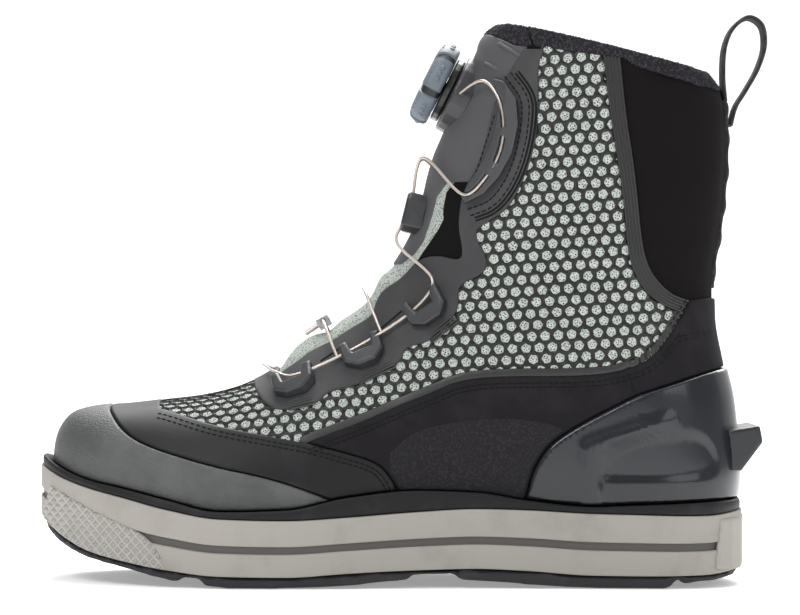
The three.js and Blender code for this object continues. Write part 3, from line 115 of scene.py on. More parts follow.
fanTable = [
    # low, lowUp, top, topUp, round, power
    (0.977, onSeat, 0.9770, None, 1.00, 2.4),
    (0.972, onSeat, 0.9765, 0.228, 1.00, 2.4),
    (0.962, onSeat, 0.9740, 0.250, 1.00, 2.4),
    (0.948, onSeat, 0.9670, 0.272, 1.00, 2.5),
    (0.930, onSeat, 0.9540, 0.291, 1.00, 2.6),
    (0.905, onSeat, 0.9340, 0.301, 1.00, 2.6),
    (0.875, onSeat, 0.9050, 0.307, 1.00, 2.5),
    (0.840, onSeat, 0.8680, 0.311, 1.00, 2.4),
    (0.795, onSeat, 0.8180, 0.319, 1.00, 2.3),
    (0.745, onSeat, 0.7650, 0.328, 1.00, 2.2),
    (0.690, onSeat, 0.7120, 0.346, 1.00, 2.1),
    (0.630, onSeat, 0.6640, 0.378, 1.00, 2.0),
    (0.565, onSeat, 0.6260, 0.425, 1.00, 1.9),
    (0.500, onSeat, 0.5850, 0.454, 0.98, 1.85),
    (0.435, onSeat, 0.5450, 0.488, 0.95, 1.85),
    (0.370, onSeat, 0.5200, 0.535, 0.88, 1.9),
    (0.305, onSeat, 0.4970, 0.572, 0.78, 1.95),
    (0.245, onSeat, 0.4780, 0.612, 0.68, 2.0),
    (0.190, onSeat, 0.4640, 0.652, 0.60, 2.0),
    (0.140, onSeat, 0.4560, 0.692, 0.54, 2.05),
    (0.100, onSeat, 0.4490, 0.732, 0.49, 2.1),
    (0.065, onSeat, 0.4405, 0.768, 0.45, 2.1),
    (0.038, onSeat, 0.4300, 0.800, 0.42, 2.1),
    (0.022, onSeat, 0.4215, 0.826, 0.40, 2.1),
    (0.014, onSeat, 0.4130, 0.850, 0.40, 2.1),
    (0.008, 0.195, 0.4050, 0.873, 0.40, 2.1),
    (0.012, 0.255, 0.3975, 0.893, 0.40, 2.1),
    (0.019, 0.330, 0.3925, 0.912, 0.41, 2.15),
    (0.032, 0.400, 0.3880, 0.929, 0.42, 2.15),
    (0.043, 0.480, 0.3843, 0.944, 0.44, 2.2),
    (0.044, 0.545, 0.3800, 0.958, 0.46, 2.2),
    (0.036, 0.617, 0.3775, 0.970, 0.48, 2.2),
    (0.029, 0.690, 0.3740, 0.979, 0.50, 2.2),
    (0.025, 0.770, 0.3680, 0.988, 0.50, 2.2),
    (0.026, 0.845, 0.3620, 0.995, 0.50, 2.2),
    (0.035, 0.885, 0.3560, 1.000, 0.50, 2.2),
    (0.050, 0.908, 0.3500, 1.003, 0.50, 2.2),
]
ankleLow = 0.28
ankleHigh = 0.52


def column(table, index, at):
    # Smooth value of one column of a table, which never overshoots its rows.
    rows = np.array([[row[0], row[index]] for row in table], float)
    x, y = rows[:, 0], rows[:, 1]
    slope = np.diff(y) / np.diff(x)
    lower, upper = slope[:-1], slope[1:]
    total = np.where(lower + upper == 0, 1, lower + upper)
    inner = np.where(lower * upper > 0, 2 * lower * upper / total, 0)
    slopes = np.concatenate([slope[:1], inner, slope[-1:]])
    at = np.asarray(at, float)
    i = np.clip(np.searchsorted(x, at, side="left") - 1, 0, len(x) - 2)
    span = x[i + 1] - x[i]
    s = np.clip((at - x[i]) / span, 0, 1)
    h = s * s * (3 - 2 * s)
    bend = slopes[i] * s * (1 - s) ** 2 - slopes[i + 1] * s * s * (1 - s)
    return y[i] * (1 - h) + y[i + 1] * h + span * bend


def mix(a, b, s):
    return a + (b - a) * s


def smooth(low, high, value):
    s = np.clip((value - low) / (high - low), 0, 1)
    return s * s * (3 - 2 * s)


def xAt(at):
    return heelBack - at * soleLength


def alongAt(x):
    return (heelBack - x) / soleLength


def treadAt(at):
    return column(sideTable, 1, at) * soleHeight


def baseAt(at):
    return column(sideTable, 2, at) * soleHeight


def seatAt(at):
    return column(sideTable, 3, at) * soleHeight


def rimAt(at):
    return column(sideTable, 4, at) * soleHeight


def centreAt(at):
    return column(planTable, 3, at) * ballWidth


def closing(distance, length, power):
    s = 1 - np.clip(distance / length, 0, 1)
    return np.maximum(1 - s**power, 0) ** (1 / power)


def planHalf(at, side, inset):
    width = column(planTable, 1 if side < 0 else 2, at) * ballWidth - inset
    heel = closing(at * soleLength - inset, heelRound, 2.3)
    return width * heel * closing((1 - at) * soleLength - inset, toeRound, 2.25)


def fanRows():
    # Foot, top and roundness of each row of the fan, in millimetres.
    rows = []
    for low, lowUp, top, topUp, roundness, power in fanTable:
        foot = seatAt(low) + gap if lowUp is None else lowUp * bootHeight
        head = foot if topUp is None else topUp * bootHeight
        rows.append((xAt(low), float(foot), xAt(top), float(head), roundness, power))
    return np.array(rows)


fan = fanRows()
seatedRows = sum(1 for row in fanTable if row[1] is None)
backTable = [(float(seatAt(0.014) + gap) / bootHeight, 0.014)]
backTable += [(row[1], row[0]) for row in fanTable if row[1] is not None]


def fanAt(u):
    f = np.clip(u, 0, 1) * (len(fan) - 1)
    i = np.minimum(np.floor(f + 1e-9).astype(int), len(fan) - 2)
    s = (f - i)[..., None]
    a = fan[np.maximum(i - 1, 0)]
    b = fan[i]
    c = fan[i + 1]
    d = fan[np.minimum(i + 2, len(fan) - 1)]
    out = b + 0.5 * s * (c - a + s * (2 * a - 5 * b + 4 * c - d + s * (3 * (b - c) + d - a)))
    out[..., 4:] = mix(b, c, s)[..., 4:]
    seated = i + 1 < seatedRows
    out[..., 1] = np.where(seated, seatAt(alongAt(out[..., 0])) + gap, out[..., 1])
    return out


def upperPoint(u, t, side):
    # Outer face of the upper: u from toe to collar, t from a section's foot to its top.
    lowX, lowZ, topX, topZ, roundness, power = np.moveaxis(fanAt(u), -1, 0)
    x = mix(lowX, topX, t)
    z = mix(lowZ, topZ, t)
    at = alongAt(x)
    up = z / bootHeight
    foot = np.where(side < 0, column(planTable, 1, at), column(planTable, 2, at)) * ballWidth - rimStep
    ankle = smooth(ankleLow, ankleHigh, up)
    width = mix(foot, column(shaftTable, 1, up) * shaftWidth, ankle)
    length = mix(heelRound, collarRound, smooth(ankleLow, 1, up))
    back = closing(xAt(column(backTable, 1, up)) - x, length, 2.2)
    toe = closing((0.977 - alongAt(lowX)) * soleLength, toeRound - rimStep, 2.25)
    front = closing(1 - t, roundness, power)
    drawn = 1 - tuck * (1 - np.minimum(t / 0.3, 1)) ** 2 * (1 - ankle)
    y = centreAt(at) * (1 - ankle) + side * width * back * toe * front * drawn
    return np.stack([x, y, z], -1)


# Fine grid of the upper's face: rows run from toe to collar, columns over the ridge
rowCount = 391
halfCount = 104


def gridPoints():
    u = np.linspace(0, 1, rowCount)[:, None]
    v = np.linspace(-1, 1, 2 * halfCount + 1)[None, :]
    w = 1 - np.abs(v)
    lowAt = alongAt(fanAt(u)[..., 0])
    both = np.where(u * (len(fan) - 1) < seatedRows - 1, smooth(0.22, 0.03, lowAt), 1)
    t = mix(np.sin(w * math.pi / 2), (1 - np.cos(math.pi * w)) / 2, both)
    side = np.where(v < 0, -1.0, 1.0)
    return upperPoint(u + 0 * w, t, side + 0 * t)


def creases(points):
    # Soft troughs and ridges where the cloth and leather give, in millimetres.
    at, up = alongAt(points[..., 0]), points[..., 2] / bootHeight
    side = np.sign(points[..., 1])
    rows = [
        # at, up, long, wide, turn in degrees, depth, side (0 both)
        (0.300, 0.560, 0.085, 0.020, 20, -1.0, 0),
        (0.250, 0.470, 0.090, 0.022, 8, -0.8, 0),
        (0.330, 0.470, 0.070, 0.020, 32, 0.8, 0),
        (0.215, 0.640, 0.060, 0.024, -6, -0.7, 0),
        (0.250, 0.740, 0.050, 0.030, 75, 0.6, 0),
        (0.560, 0.310, 0.055, 0.014, -24, -0.6, 0),
        (0.620, 0.290, 0.050, 0.014, -20, 0.5, 0),
        (0.730, 0.300, 0.045, 0.014, -8, -0.5, 0),
        (0.120, 0.620, 0.034, 0.022, 12, -0.9, 0),
        (0.100, 0.700, 0.034, 0.026, 4, 0.8, 0),
        (0.090, 0.780, 0.030, 0.026, -6, -0.6, 0),
        (0.400, 0.300, 0.080, 0.022, -12, 0.5, 0),
    ]
    total = np.zeros(at.shape)
    for cAt, cUp, long, wide, turn, depth, only in rows:
        dx = at - cAt
        dz = (up - cUp) * bootHeight / soleLength
        a = math.radians(turn)
        p = dx * math.cos(a) + dz * math.sin(a)
        q = -dx * math.sin(a) + dz * math.cos(a)
        total += depth * np.exp(-((p / long) ** 2) - (q / wide) ** 2) * ((only == 0) | (side == only))
    return total


def normalsOf(points):
    du = np.gradient(points, axis=0)
    dv = np.gradient(points, axis=1)
    n = np.cross(du, dv)
    length = np.linalg.norm(n, axis=-1, keepdims=True)
    n = n / np.maximum(length, 1e-9)
    outward = points[..., 1] - centreAt(alongAt(points[..., 0]))
    sign = np.sign(np.sum(n[..., 1] * outward))
    return n * sign


upperGrid = gridPoints()
onBack = np.linspace(0, 1, rowCount) * (len(fan) - 1) >= seatedRows - 1   # both sides share the back's middle line
upperGrid[onBack, 0] = upperGrid[onBack, -1] = (upperGrid[onBack, 0] + upperGrid[onBack, -1]) / 2
upperNormals = normalsOf(upperGrid)
shared = (upperNormals[:, 0] + upperNormals[:, -1]) * (1, 0, 1)
length = np.linalg.norm(shared, axis=-1)
meet = onBack & (length > 0.1)
upperNormals[meet, 0] = upperNormals[meet, -1] = shared[meet] / length[meet, None]
upperGrid = upperGrid + upperNormals * creases(upperGrid)[..., None]
print("upper face", upperGrid.shape)


def sample(grid, rc):
    # Bilinear value of a grid at rows and columns.
    r = np.clip(rc[:, 0], 0, grid.shape[0] - 1.001)
    c = np.clip(rc[:, 1], 0, grid.shape[1] - 1.001)
    i, j = r.astype(int), c.astype(int)
    a, b = (r - i)[:, None], (c - j)[:, None]
    low = grid[i, j] * (1 - b) + grid[i, j + 1] * b
    high = grid[i + 1, j] * (1 - b) + grid[i + 1, j + 1] * b
    return low * (1 - a) + high * a


def halfOf(grid, side):
    return grid[:, : halfCount + 1] if side < 0 else grid[:, ::-1][:, : halfCount + 1]


def locate(xz, side, plane=None):
    # Rows and columns of the grid under points of the side view, or of another flat map of it
    half = halfOf(upperGrid[..., [0, 2]] if plane is None else plane, side)
    coarse = half[::8, ::6]
    flat = coarse.reshape(-1, 2)
    rc = np.zeros((len(xz), 2))
    for k in range(0, len(xz), 4000):
        part = xz[k : k + 4000]
        far = ((part[:, None] - flat[None]) ** 2).sum(-1)
        best = far.argmin(1)
        rc[k : k + 4000] = np.stack([best // coarse.shape[1] * 8, best % coarse.shape[1] * 6], -1)
    for _ in range(14):
        here = sample(half, rc)
        dr = sample(half, rc + [0.5, 0]) - sample(half, rc - [0.5, 0])
        dc = sample(half, rc + [0, 0.5]) - sample(half, rc - [0, 0.5])
        miss = xz - here
        det = dr[:, 0] * dc[:, 1] - dr[:, 1] * dc[:, 0]
        det = np.where(np.abs(det) < 1e-6, 1e-6, det)
        stepR = (miss[:, 0] * dc[:, 1] - miss[:, 1] * dc[:, 0]) / det
        stepC = (dr[:, 0] * miss[:, 1] - dr[:, 1] * miss[:, 0]) / det
        rc = rc + np.clip(np.stack([stepR, stepC], -1), -12, 12)
        rc[:, 0] = np.clip(rc[:, 0], 0, rowCount - 1.01)
        rc[:, 1] = np.clip(rc[:, 1], 0, halfCount - 0.01)
    if side > 0:
        rc[:, 1] = 2 * halfCount - rc[:, 1]
    return rc


def onFace(xz, side, lift, plane=None):
    # Points over the upper's face, above points of the side view
    rc = locate(np.asarray(xz, float), side, plane)
    n = sample(upperNormals, rc)
    n = n / np.maximum(np.linalg.norm(n, axis=1, keepdims=True), 1e-9)
    return sample(upperGrid, rc) + n * np.reshape(lift, (-1, 1)), n


def unrolled():
    # A flat map of each side: true lengths along each section, from its middle
    plane = np.zeros(upperGrid.shape[:2] + (2,))
    for side in (-1, 1):
        half = halfOf(upperGrid, side)
        arc = np.concatenate([np.zeros((rowCount, 1)), np.cumsum(
            np.linalg.norm(np.diff(half, axis=1), axis=-1), axis=1)], axis=1)
        flat = half[..., [0, 2]]
        way = flat[:, -1] - flat[:, 0]
        way = way / np.maximum(np.linalg.norm(way, axis=1, keepdims=True), 1e-6)
        middle = halfCount // 2
        run = flat[:, middle, None] + way[:, None] * (arc - arc[:, middle, None])[..., None]
        if side < 0:
            plane[:, : halfCount + 1] = run
        else:
            plane[:, halfCount:] = run[:, ::-1]
    return plane


# Meshes
def addMesh(name, points, faces, material, slot, stands=(), smoothAngle=35):
    mesh = bpy.data.meshes.new(name)
    mesh.from_pydata((np.asarray(points) / 1000).tolist(), [], [tuple(f) for f in faces])
    made = bpy.data.objects.new(name, mesh)
    bpy.context.scene.collection.objects.link(made)
    mesh.materials.append(material)
    mesh.shade_smooth()
    if smoothAngle < 180:
        mesh.set_sharp_from_angle(angle=math.radians(smoothAngle))
    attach(made, "root")
    if stands:
        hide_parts(*stands)
    print(name, len(mesh.polygons))
    return made


def gridFaces(rows, columns, closed=False):
    i, j = np.meshgrid(np.arange(rows - 1), np.arange(columns - (0 if closed else 1)), indexing="ij")
    k = (j + 1) % columns
    return np.stack([i * columns + j, i * columns + k, (i + 1) * columns + k, (i + 1) * columns + j], -1).reshape(-1, 4)


def cutAt(rc, faces, values, level):
    # Splits triangles where a value crosses a level. Returns points, triangles, values and the inside ones.
    s = values - level
    inside = s < 0
    count = inside[faces].sum(1)
    whole = faces[(count == 3) | (count == 0)]
    parts = []
    newRc, newValues, start = [rc], [values], len(rc)
    for lone, wanted in ((1, True), (2, False)):
        tri = faces[count == lone]
        if not len(tri):
            continue
        first = np.argmax(inside[tri] == wanted, axis=1)
        tri = np.take_along_axis(tri, (first[:, None] + np.arange(3)) % 3, axis=1)
        a, b, c = tri.T
        ends = []
        for q in (b, c):
            low, high = np.minimum(a, q), np.maximum(a, q)
            key, back = np.unique(low.astype(np.int64) * (len(rc) + 1) + high, return_inverse=True)
            l, h = key // (len(rc) + 1), key % (len(rc) + 1)
            f = (s[l] / (s[l] - s[h]))[:, None]
            newRc.append(rc[l] + (rc[h] - rc[l]) * f)
            newValues.append(np.full(len(key), float(level)))
            ends.append(start + back)
            start += len(key)
        p, q = ends
        parts += [np.stack([a, p, q], -1), np.stack([p, b, c], -1), np.stack([p, c, q], -1)]
    rc, values = np.concatenate(newRc), np.concatenate(newValues)
    faces = np.concatenate([whole] + parts)
    weld, back = np.unique(np.round(rc, 6), axis=0, return_inverse=True)
    back = back.reshape(-1)
    keep = np.zeros(len(weld), int)
    keep[back] = np.arange(len(rc))
    faces = back[faces]
    faces = faces[(faces[:, 0] != faces[:, 1]) & (faces[:, 1] != faces[:, 2]) & (faces[:, 0] != faces[:, 2])]
    return rc[keep], faces, values[keep]


def keptOnly(rc, faces, values, level=0.0):
    # Drops triangles beyond a level, and the points that nothing uses.
    faces = faces[values[faces].mean(1) < level]
    used, faces = np.unique(faces, return_inverse=True)
    return rc[used], faces.reshape(-1, 3), values[used]


def insideDistance(xz, outline):
    # Distance to a closed outline on the side view, negative inside.
    poly = np.asarray(outline, float)
    nearest = np.full(len(xz), 1e9)
    inside = np.zeros(len(xz), bool)
    for a, b in zip(poly, np.roll(poly, -1, axis=0)):
        d = b - a
        s = np.clip(((xz - a) @ d) / max(d @ d, 1e-9), 0, 1)
        nearest = np.minimum(nearest, np.linalg.norm(xz - a - s[:, None] * d, axis=1))
        crosses = (a[1] > xz[:, 1]) != (b[1] > xz[:, 1])
        rise = d[1] if abs(d[1]) > 1e-12 else 1e-12
        inside ^= crosses & (xz[:, 0] < a[0] + (xz[:, 1] - a[1]) / rise * d[0])
    return np.where(inside, -nearest, nearest)


def rounded(rows, times=2):
    # A line of the side view with its corners cut, in millimetres.
    line = np.array([(xAt(at), up * bootHeight) for at, up in rows], float)
    for _ in range(times):
        a, b = line[:-1], line[1:]
        mids = np.stack([a * 0.75 + b * 0.25, a * 0.25 + b * 0.75], 1).reshape(-1, 2)
        line = np.concatenate([line[:1], mids, line[-1:]])
    return line


def panelMesh(field, sides, base, thickness, roundness, grid=None, normals=None, extra=None):
    # A panel raised from a face where a field of the grid is negative, with a rounded edge
    grid = upperGrid if grid is None else grid
    normals = upperNormals if normals is None else normals
    rows, columns = grid.shape[:2]
    quads = gridFaces(rows, columns)
    value = field.reshape(-1)
    if sides:
        middle = quads.min(1) % columns
        quads = quads[(middle < columns // 2) if sides < 0 else (middle >= columns // 2)]
    quads = quads[value[quads].min(1) < 0]
    faces = np.concatenate([quads[:, [0, 1, 2]], quads[:, [0, 2, 3]]])
    index = np.arange(rows * columns)
    rc = np.stack([index // columns, index % columns], -1).astype(float)
    used, faces = np.unique(faces, return_inverse=True)
    rc, value, faces = rc[used], value[used], faces.reshape(-1, 3)
    rc, faces, value = cutAt(rc, faces, value, 0.0)
    rc, faces, value = keptOnly(rc, faces, value, 0.0)
    for share in (0.35, 1.0):
        rc, faces, value = cutAt(rc, faces, value, -roundness * share)
    s = np.clip(-value / roundness, 0, 1)
    height = base + (thickness - base) * np.sqrt(1 - (1 - s) ** 2)
    n = sample(normals, rc)
    n = n / np.maximum(np.linalg.norm(n, axis=1, keepdims=True), 1e-9)
    points = sample(grid, rc)
    if extra is not None:
        height = height + extra(points, rc, value)
    return points + n * height[:, None], faces


def join(parts):
    # Joins (points, faces) pairs into one
    points, faces, start = [], [], 0
    for p, f in parts:
        points.append(p)
        faces += (f + start).tolist() if isinstance(f, np.ndarray) else [[k + start for k in face] for face in f]
        start += len(p)
    return np.concatenate(points), faces


print("shape tools ready")

# Outlines of the panels on the side view, shares of the sole length and the boot height
capEdge = [
    (0.901, 0.400), (0.901, 0.308), (0.892, 0.292), (0.875, 0.268), (0.852, 0.250), (0.817, 0.234),
    (0.744, 0.209), (0.688, 0.196), (0.639, 0.180), (0.579, 0.152), (0.540, 0.120),
]
guardEdge = [
    (0.832, 0.400), (0.830, 0.307), (0.810, 0.303), (0.746, 0.280), (0.684, 0.267), (0.617, 0.253),
]
guardBack = [(0.617, 0.253), (0.564, 0.236), (0.520, 0.220), (0.501, 0.197), (0.488, 0.165), (0.480, 0.120)]
hexLow = [
    (0.617, 0.253), (0.590, 0.267), (0.540, 0.290), (0.489, 0.319), (0.441, 0.344), (0.407, 0.364),
    (0.353, 0.373), (0.225, 0.374), (0.176, 0.385), (0.144, 0.401), (0.119, 0.435), (0.096, 0.485),
]
hexFront = [
    (0.700, 0.400), (0.696, 0.348), (0.679, 0.317), (0.654, 0.303), (0.595, 0.322), (0.591, 0.338),
    (0.536, 0.355), (0.482, 0.395), (0.482, 0.419), (0.445, 0.429), (0.428, 0.457), (0.403, 0.486),
    (0.407, 0.532), (0.373, 0.548), (0.362, 0.575), (0.382, 0.618), (0.379, 0.634), (0.342, 0.660),
    (0.324, 0.695), (0.300, 0.771), (0.295, 0.867), (0.297, 0.920), (0.287, 0.951),
]
ribLeft = [
    (0.210, 0.939), (0.199, 0.831), (0.179, 0.686), (0.175, 0.613), (0.168, 0.567), (0.151, 0.525),
    (0.127, 0.500), (0.096, 0.485),
]
ribRight = [
    (0.185, 0.935), (0.176, 0.831), (0.164, 0.744), (0.153, 0.613), (0.144, 0.568), (0.127, 0.538),
    (0.109, 0.518), (0.085, 0.508),
]
quarterTop = [(0.085, 0.508), (0.064, 0.512), (0.044, 0.514), (-0.060, 0.516)]
counterEdge = [
    (0.318, 0.120), (0.306, 0.192), (0.296, 0.223), (0.277, 0.256), (0.241, 0.286), (0.193, 0.318),
    (0.158, 0.341), (0.111, 0.360), (0.061, 0.380), (0.026, 0.389), (-0.060, 0.400),
]
cuffLow = [
    (0.303, 0.954), (0.260, 0.946), (0.219, 0.937), (0.183, 0.935), (0.165, 0.920), (0.118, 0.903),
    (0.069, 0.887), (-0.080, 0.877),
]
throatEdge = [
    (0.317, 0.952), (0.336, 0.913), (0.356, 0.865), (0.364, 0.823), (0.371, 0.783), (0.382, 0.742),
    (0.401, 0.699), (0.408, 0.641), (0.400, 0.589), (0.406, 0.577), (0.436, 0.587), (0.463, 0.578),
    (0.485, 0.544), (0.511, 0.524), (0.522, 0.501), (0.526, 0.476), (0.560, 0.451), (0.581, 0.432),
    (0.614, 0.412), (0.631, 0.394), (0.658, 0.370),
]
tongueCuff = [(0.420, 0.986), (0.369, 0.985), (0.358, 0.977), (0.331, 0.957), (0.303, 0.954)]


def closed(*lines):
    return np.concatenate([np.atleast_2d(line) for line in lines])


def corner(at, up):
    return np.array([[xAt(at), up * bootHeight]])


gridXz = upperGrid[..., [0, 2]].reshape(-1, 2)
gridAt = alongAt(upperGrid[..., 0])


def fieldOf(outline):
    return insideDistance(gridXz, outline).reshape(gridAt.shape)


lines = {
    "cap": rounded(capEdge),
    "guard": rounded(guardEdge),
    "guardBack": rounded(guardBack),
    "hexLow": rounded(hexLow),
    "hexFront": rounded(hexFront),
    "ribLeft": rounded(ribLeft),
    "ribRight": rounded(ribRight),
    "quarterTop": rounded(quarterTop),
    "counter": rounded(counterEdge),
    "cuffLow": rounded(cuffLow),
    "throat": rounded(throatEdge),
}
overRim = rimAt(gridAt) + 0.4 - upperGrid[..., 2]
overCuffLine = fieldOf(closed(lines["cuffLow"], corner(-0.08, 1.2), corner(0.40, 1.2), corner(0.40, 0.954)))
capField = fieldOf(closed(lines["cap"], corner(0.53, 0.02), corner(1.1, 0.02), corner(1.1, 0.4)))
guardField = fieldOf(
    closed(lines["guard"], lines["guardBack"][1:], corner(0.478, 0.02), corner(0.53, 0.02), lines["cap"][::-1])
)
hexField = fieldOf(
    closed(lines["guard"], lines["hexLow"][1:], lines["ribLeft"][::-1][1:], lines["hexFront"][::-1])
)
quarterField = fieldOf(
    closed(
        lines["guardBack"], corner(0.478, 0.02), corner(0.318, 0.02), lines["counter"],
        lines["quarterTop"][::-1], lines["hexLow"][::-1][:-1],
    )
)
counterField = fieldOf(closed(lines["counter"][::-1], corner(0.318, 0.02), corner(-0.06, 0.02)))
ribField = fieldOf(closed(lines["ribLeft"], lines["ribRight"][::-1]))
eyestayField = fieldOf(
    closed(lines["hexFront"], corner(0.317, 0.952), lines["throat"][1:], corner(0.668, 0.45))
)
throatField = fieldOf(
    closed(
        lines["throat"], corner(0.668, 0.45), corner(0.90, 0.80), corner(0.60, 1.20), corner(0.317, 1.20)
    )
)
print("outlines measured")

# Materials. Groups give heights and masks; each material joins them to its own shader
def newGroup(name, inputs, outputs):
    tree = bpy.data.node_groups.new(name, "ShaderNodeTree")
    for label, value in inputs:
        socket = tree.interface.new_socket(label, in_out="INPUT", socket_type="NodeSocketFloat")
        socket.default_value = value
    for label in outputs:
        tree.interface.new_socket(label, in_out="OUTPUT", socket_type="NodeSocketFloat")
    return tree, tree.nodes.new("NodeGroupInput"), tree.nodes.new("NodeGroupOutput")


def textureNode(tree, kind, place, scale, **values):
    made = tree.nodes.new(kind)
    tree.links.new(place, made.inputs["Vector"])
    tree.links.new(scale, made.inputs["Scale"])
    for key, value in values.items():
        if hasattr(made, key):
            setattr(made, key, value)
        else:
            made.inputs[key].default_value = value
    return made


def mathNode(tree, operation, a, b):
    made = tree.nodes.new("ShaderNodeMath")
    made.operation = operation
    for index, value in enumerate((a, b)):
        if isinstance(value, (int, float)):
            made.inputs[index].default_value = value
        else:
            tree.links.new(value, made.inputs[index])
    return made.outputs[0]


def placeIn(tree, turn=None):
    place = tree.nodes.new("ShaderNodeTexCoord").outputs["Object"]
    if turn is None:
        return place
    turned = tree.nodes.new("ShaderNodeMapping")
    turned.inputs["Rotation"].default_value = (0, turn, 0)
    tree.links.new(place, turned.inputs["Vector"])
    return turned.outputs["Vector"]


def grainGroup():
    # Pebbled leather: cells with soft valleys and fine pores
    tree, given, out = newGroup("leatherGrain", [("Scale", 900.0)], ["Height"])
    place = placeIn(tree)
    cells = textureNode(tree, "ShaderNodeTexVoronoi", place, given.outputs["Scale"], feature="SMOOTH_F1")
    fine = mathNode(tree, "MULTIPLY", given.outputs["Scale"], 2.6)
    pores = textureNode(tree, "ShaderNodeTexNoise", place, fine, Detail=3.0, Roughness=0.6)
    half = mathNode(tree, "MULTIPLY", pores.outputs["Fac"], 0.5)
    tree.links.new(mathNode(tree, "SUBTRACT", half, cells.outputs["Distance"]), out.inputs["Height"])
    return tree


def crossedGroup(name, turns, operation):
    # Two crossed waves: a weave when square to the boot, a knurl when turned
    tree, given, out = newGroup(name, [("Scale", 900.0)], ["Height"])
    waves = [
        textureNode(tree, "ShaderNodeTexWave", placeIn(tree, turn), given.outputs["Scale"], bands_direction="X",
                    Distortion=0.3, Detail=1.0).outputs["Fac"]
        for turn in turns
    ]
    tree.links.new(mathNode(tree, operation, *waves), out.inputs["Height"])
    return tree


def wearGroup():
    # Patchy wear and dust
    tree, given, out = newGroup("wearMask", [("Scale", 30.0), ("Low", 0.5), ("High", 0.7)], ["Mask"])
    slow = textureNode(tree, "ShaderNodeTexNoise", placeIn(tree), given.outputs["Scale"], Detail=6.0, Roughness=0.65)
    made = tree.nodes.new("ShaderNodeMapRange")
    made.interpolation_type = "SMOOTHSTEP"
    tree.links.new(given.outputs["Low"], made.inputs["From Min"])
    tree.links.new(given.outputs["High"], made.inputs["From Max"])
    tree.links.new(slow.outputs["Fac"], made.inputs["Value"])
    tree.links.new(made.outputs["Result"], out.inputs["Mask"])
    return tree


def speckGroup():
    # Fine specks for foam, rubber and yarn
    tree, given, out = newGroup("fineSpeck", [("Scale", 2500.0)], ["Height"])
    fine = textureNode(tree, "ShaderNodeTexNoise", placeIn(tree), given.outputs["Scale"], Detail=2.0, Roughness=0.7)
    tree.links.new(fine.outputs["Fac"], out.inputs["Height"])
    return tree


effects = {
    "grain": grainGroup(),
    "weave": crossedGroup("clothWeave", (0.0, math.pi / 2), "MULTIPLY"),
    "knurl": crossedGroup("knurl", (0.75, -0.75), "MINIMUM"),
    "wear": wearGroup(),
    "speck": speckGroup(),
}


def addGroup(tree, effect, **values):
    made = tree.nodes.new("ShaderNodeGroup")
    made.node_tree = effects[effect]
    for key, value in values.items():
        made.inputs[key].default_value = value
    return made


def material(name, color, roughness, specular=0.5, worn=None, wear=(30.0, 0.45, 0.75), surface=(),
             metallic=0.0, coat=0.0, glow=0.0):
    # One colour, a worn colour in patches (scale, low, high), and surface rows of effect, scale,
    # strength and depth in mm
    made = bpy.data.materials.new(name)
    made.use_nodes = True
    tree = made.node_tree
    shader = tree.nodes["Principled BSDF"]
    shader.inputs["Base Color"].default_value = (*color, 1)
    shader.inputs["Roughness"].default_value = roughness
    shader.inputs["Specular IOR Level"].default_value = specular
    shader.inputs["Metallic"].default_value = metallic
    shader.inputs["Coat Weight"].default_value = coat
    if glow:
        shader.inputs["Emission Color"].default_value = (1, 1, 1, 1)
        shader.inputs["Emission Strength"].default_value = glow
    if worn is not None:
        patch = addGroup(tree, "wear", Scale=wear[0], Low=wear[1], High=wear[2])
        blend = tree.nodes.new("ShaderNodeMix")
        blend.data_type = "RGBA"
        blend.inputs["A"].default_value = (*color, 1)
        blend.inputs["B"].default_value = (*worn, 1)
        tree.links.new(patch.outputs["Mask"], blend.inputs["Factor"])
        tree.links.new(blend.outputs["Result"], shader.inputs["Base Color"])
    normal = None
    for effect, scale, strength, depth in surface:
        bump = tree.nodes.new("ShaderNodeBump")
        bump.inputs["Strength"].default_value = strength
        bump.inputs["Distance"].default_value = depth / 1000
        tree.links.new(addGroup(tree, effect, Scale=scale).outputs["Height"], bump.inputs["Height"])
        if normal is not None:
            tree.links.new(normal, bump.inputs["Normal"])
        normal = bump.outputs["Normal"]
    if normal is not None:
        tree.links.new(normal, shader.inputs["Normal"])
    return made


# Helpers for pieces on the upper's face
def lineDistance(xz, line):
    # Distance to an open line on the side view
    nearest = np.full(len(xz), 1e9)
    for a, b in zip(line[:-1], line[1:]):
        d = b - a
        s = np.clip(((xz - a) @ d) / max(d @ d, 1e-9), 0, 1)
        nearest = np.minimum(nearest, np.linalg.norm(xz - a - s[:, None] * d, axis=1))
    return nearest


def near(line):
    return lineDistance(gridXz, line).reshape(gridAt.shape)


def spaced(line, step, offset=0.0):
    # Points a step apart along a line of the side view, moved aside by an offset, and their directions
    line = np.asarray(line, float)
    run = np.concatenate([[0], np.cumsum(np.linalg.norm(np.diff(line, axis=0), axis=1))])
    s = np.linspace(0, run[-1], max(int(run[-1] / step) + 1, 2))

    def place(at):
        return np.stack([np.interp(at, run, line[:, k]) for k in (0, 1)], -1)

    way = place(np.minimum(s + 1, run[-1])) - place(np.maximum(s - 1, 0))
    way = way / np.linalg.norm(way, axis=1, keepdims=True)
    return place(s) + np.stack([-way[:, 1], way[:, 0]], -1) * offset, way


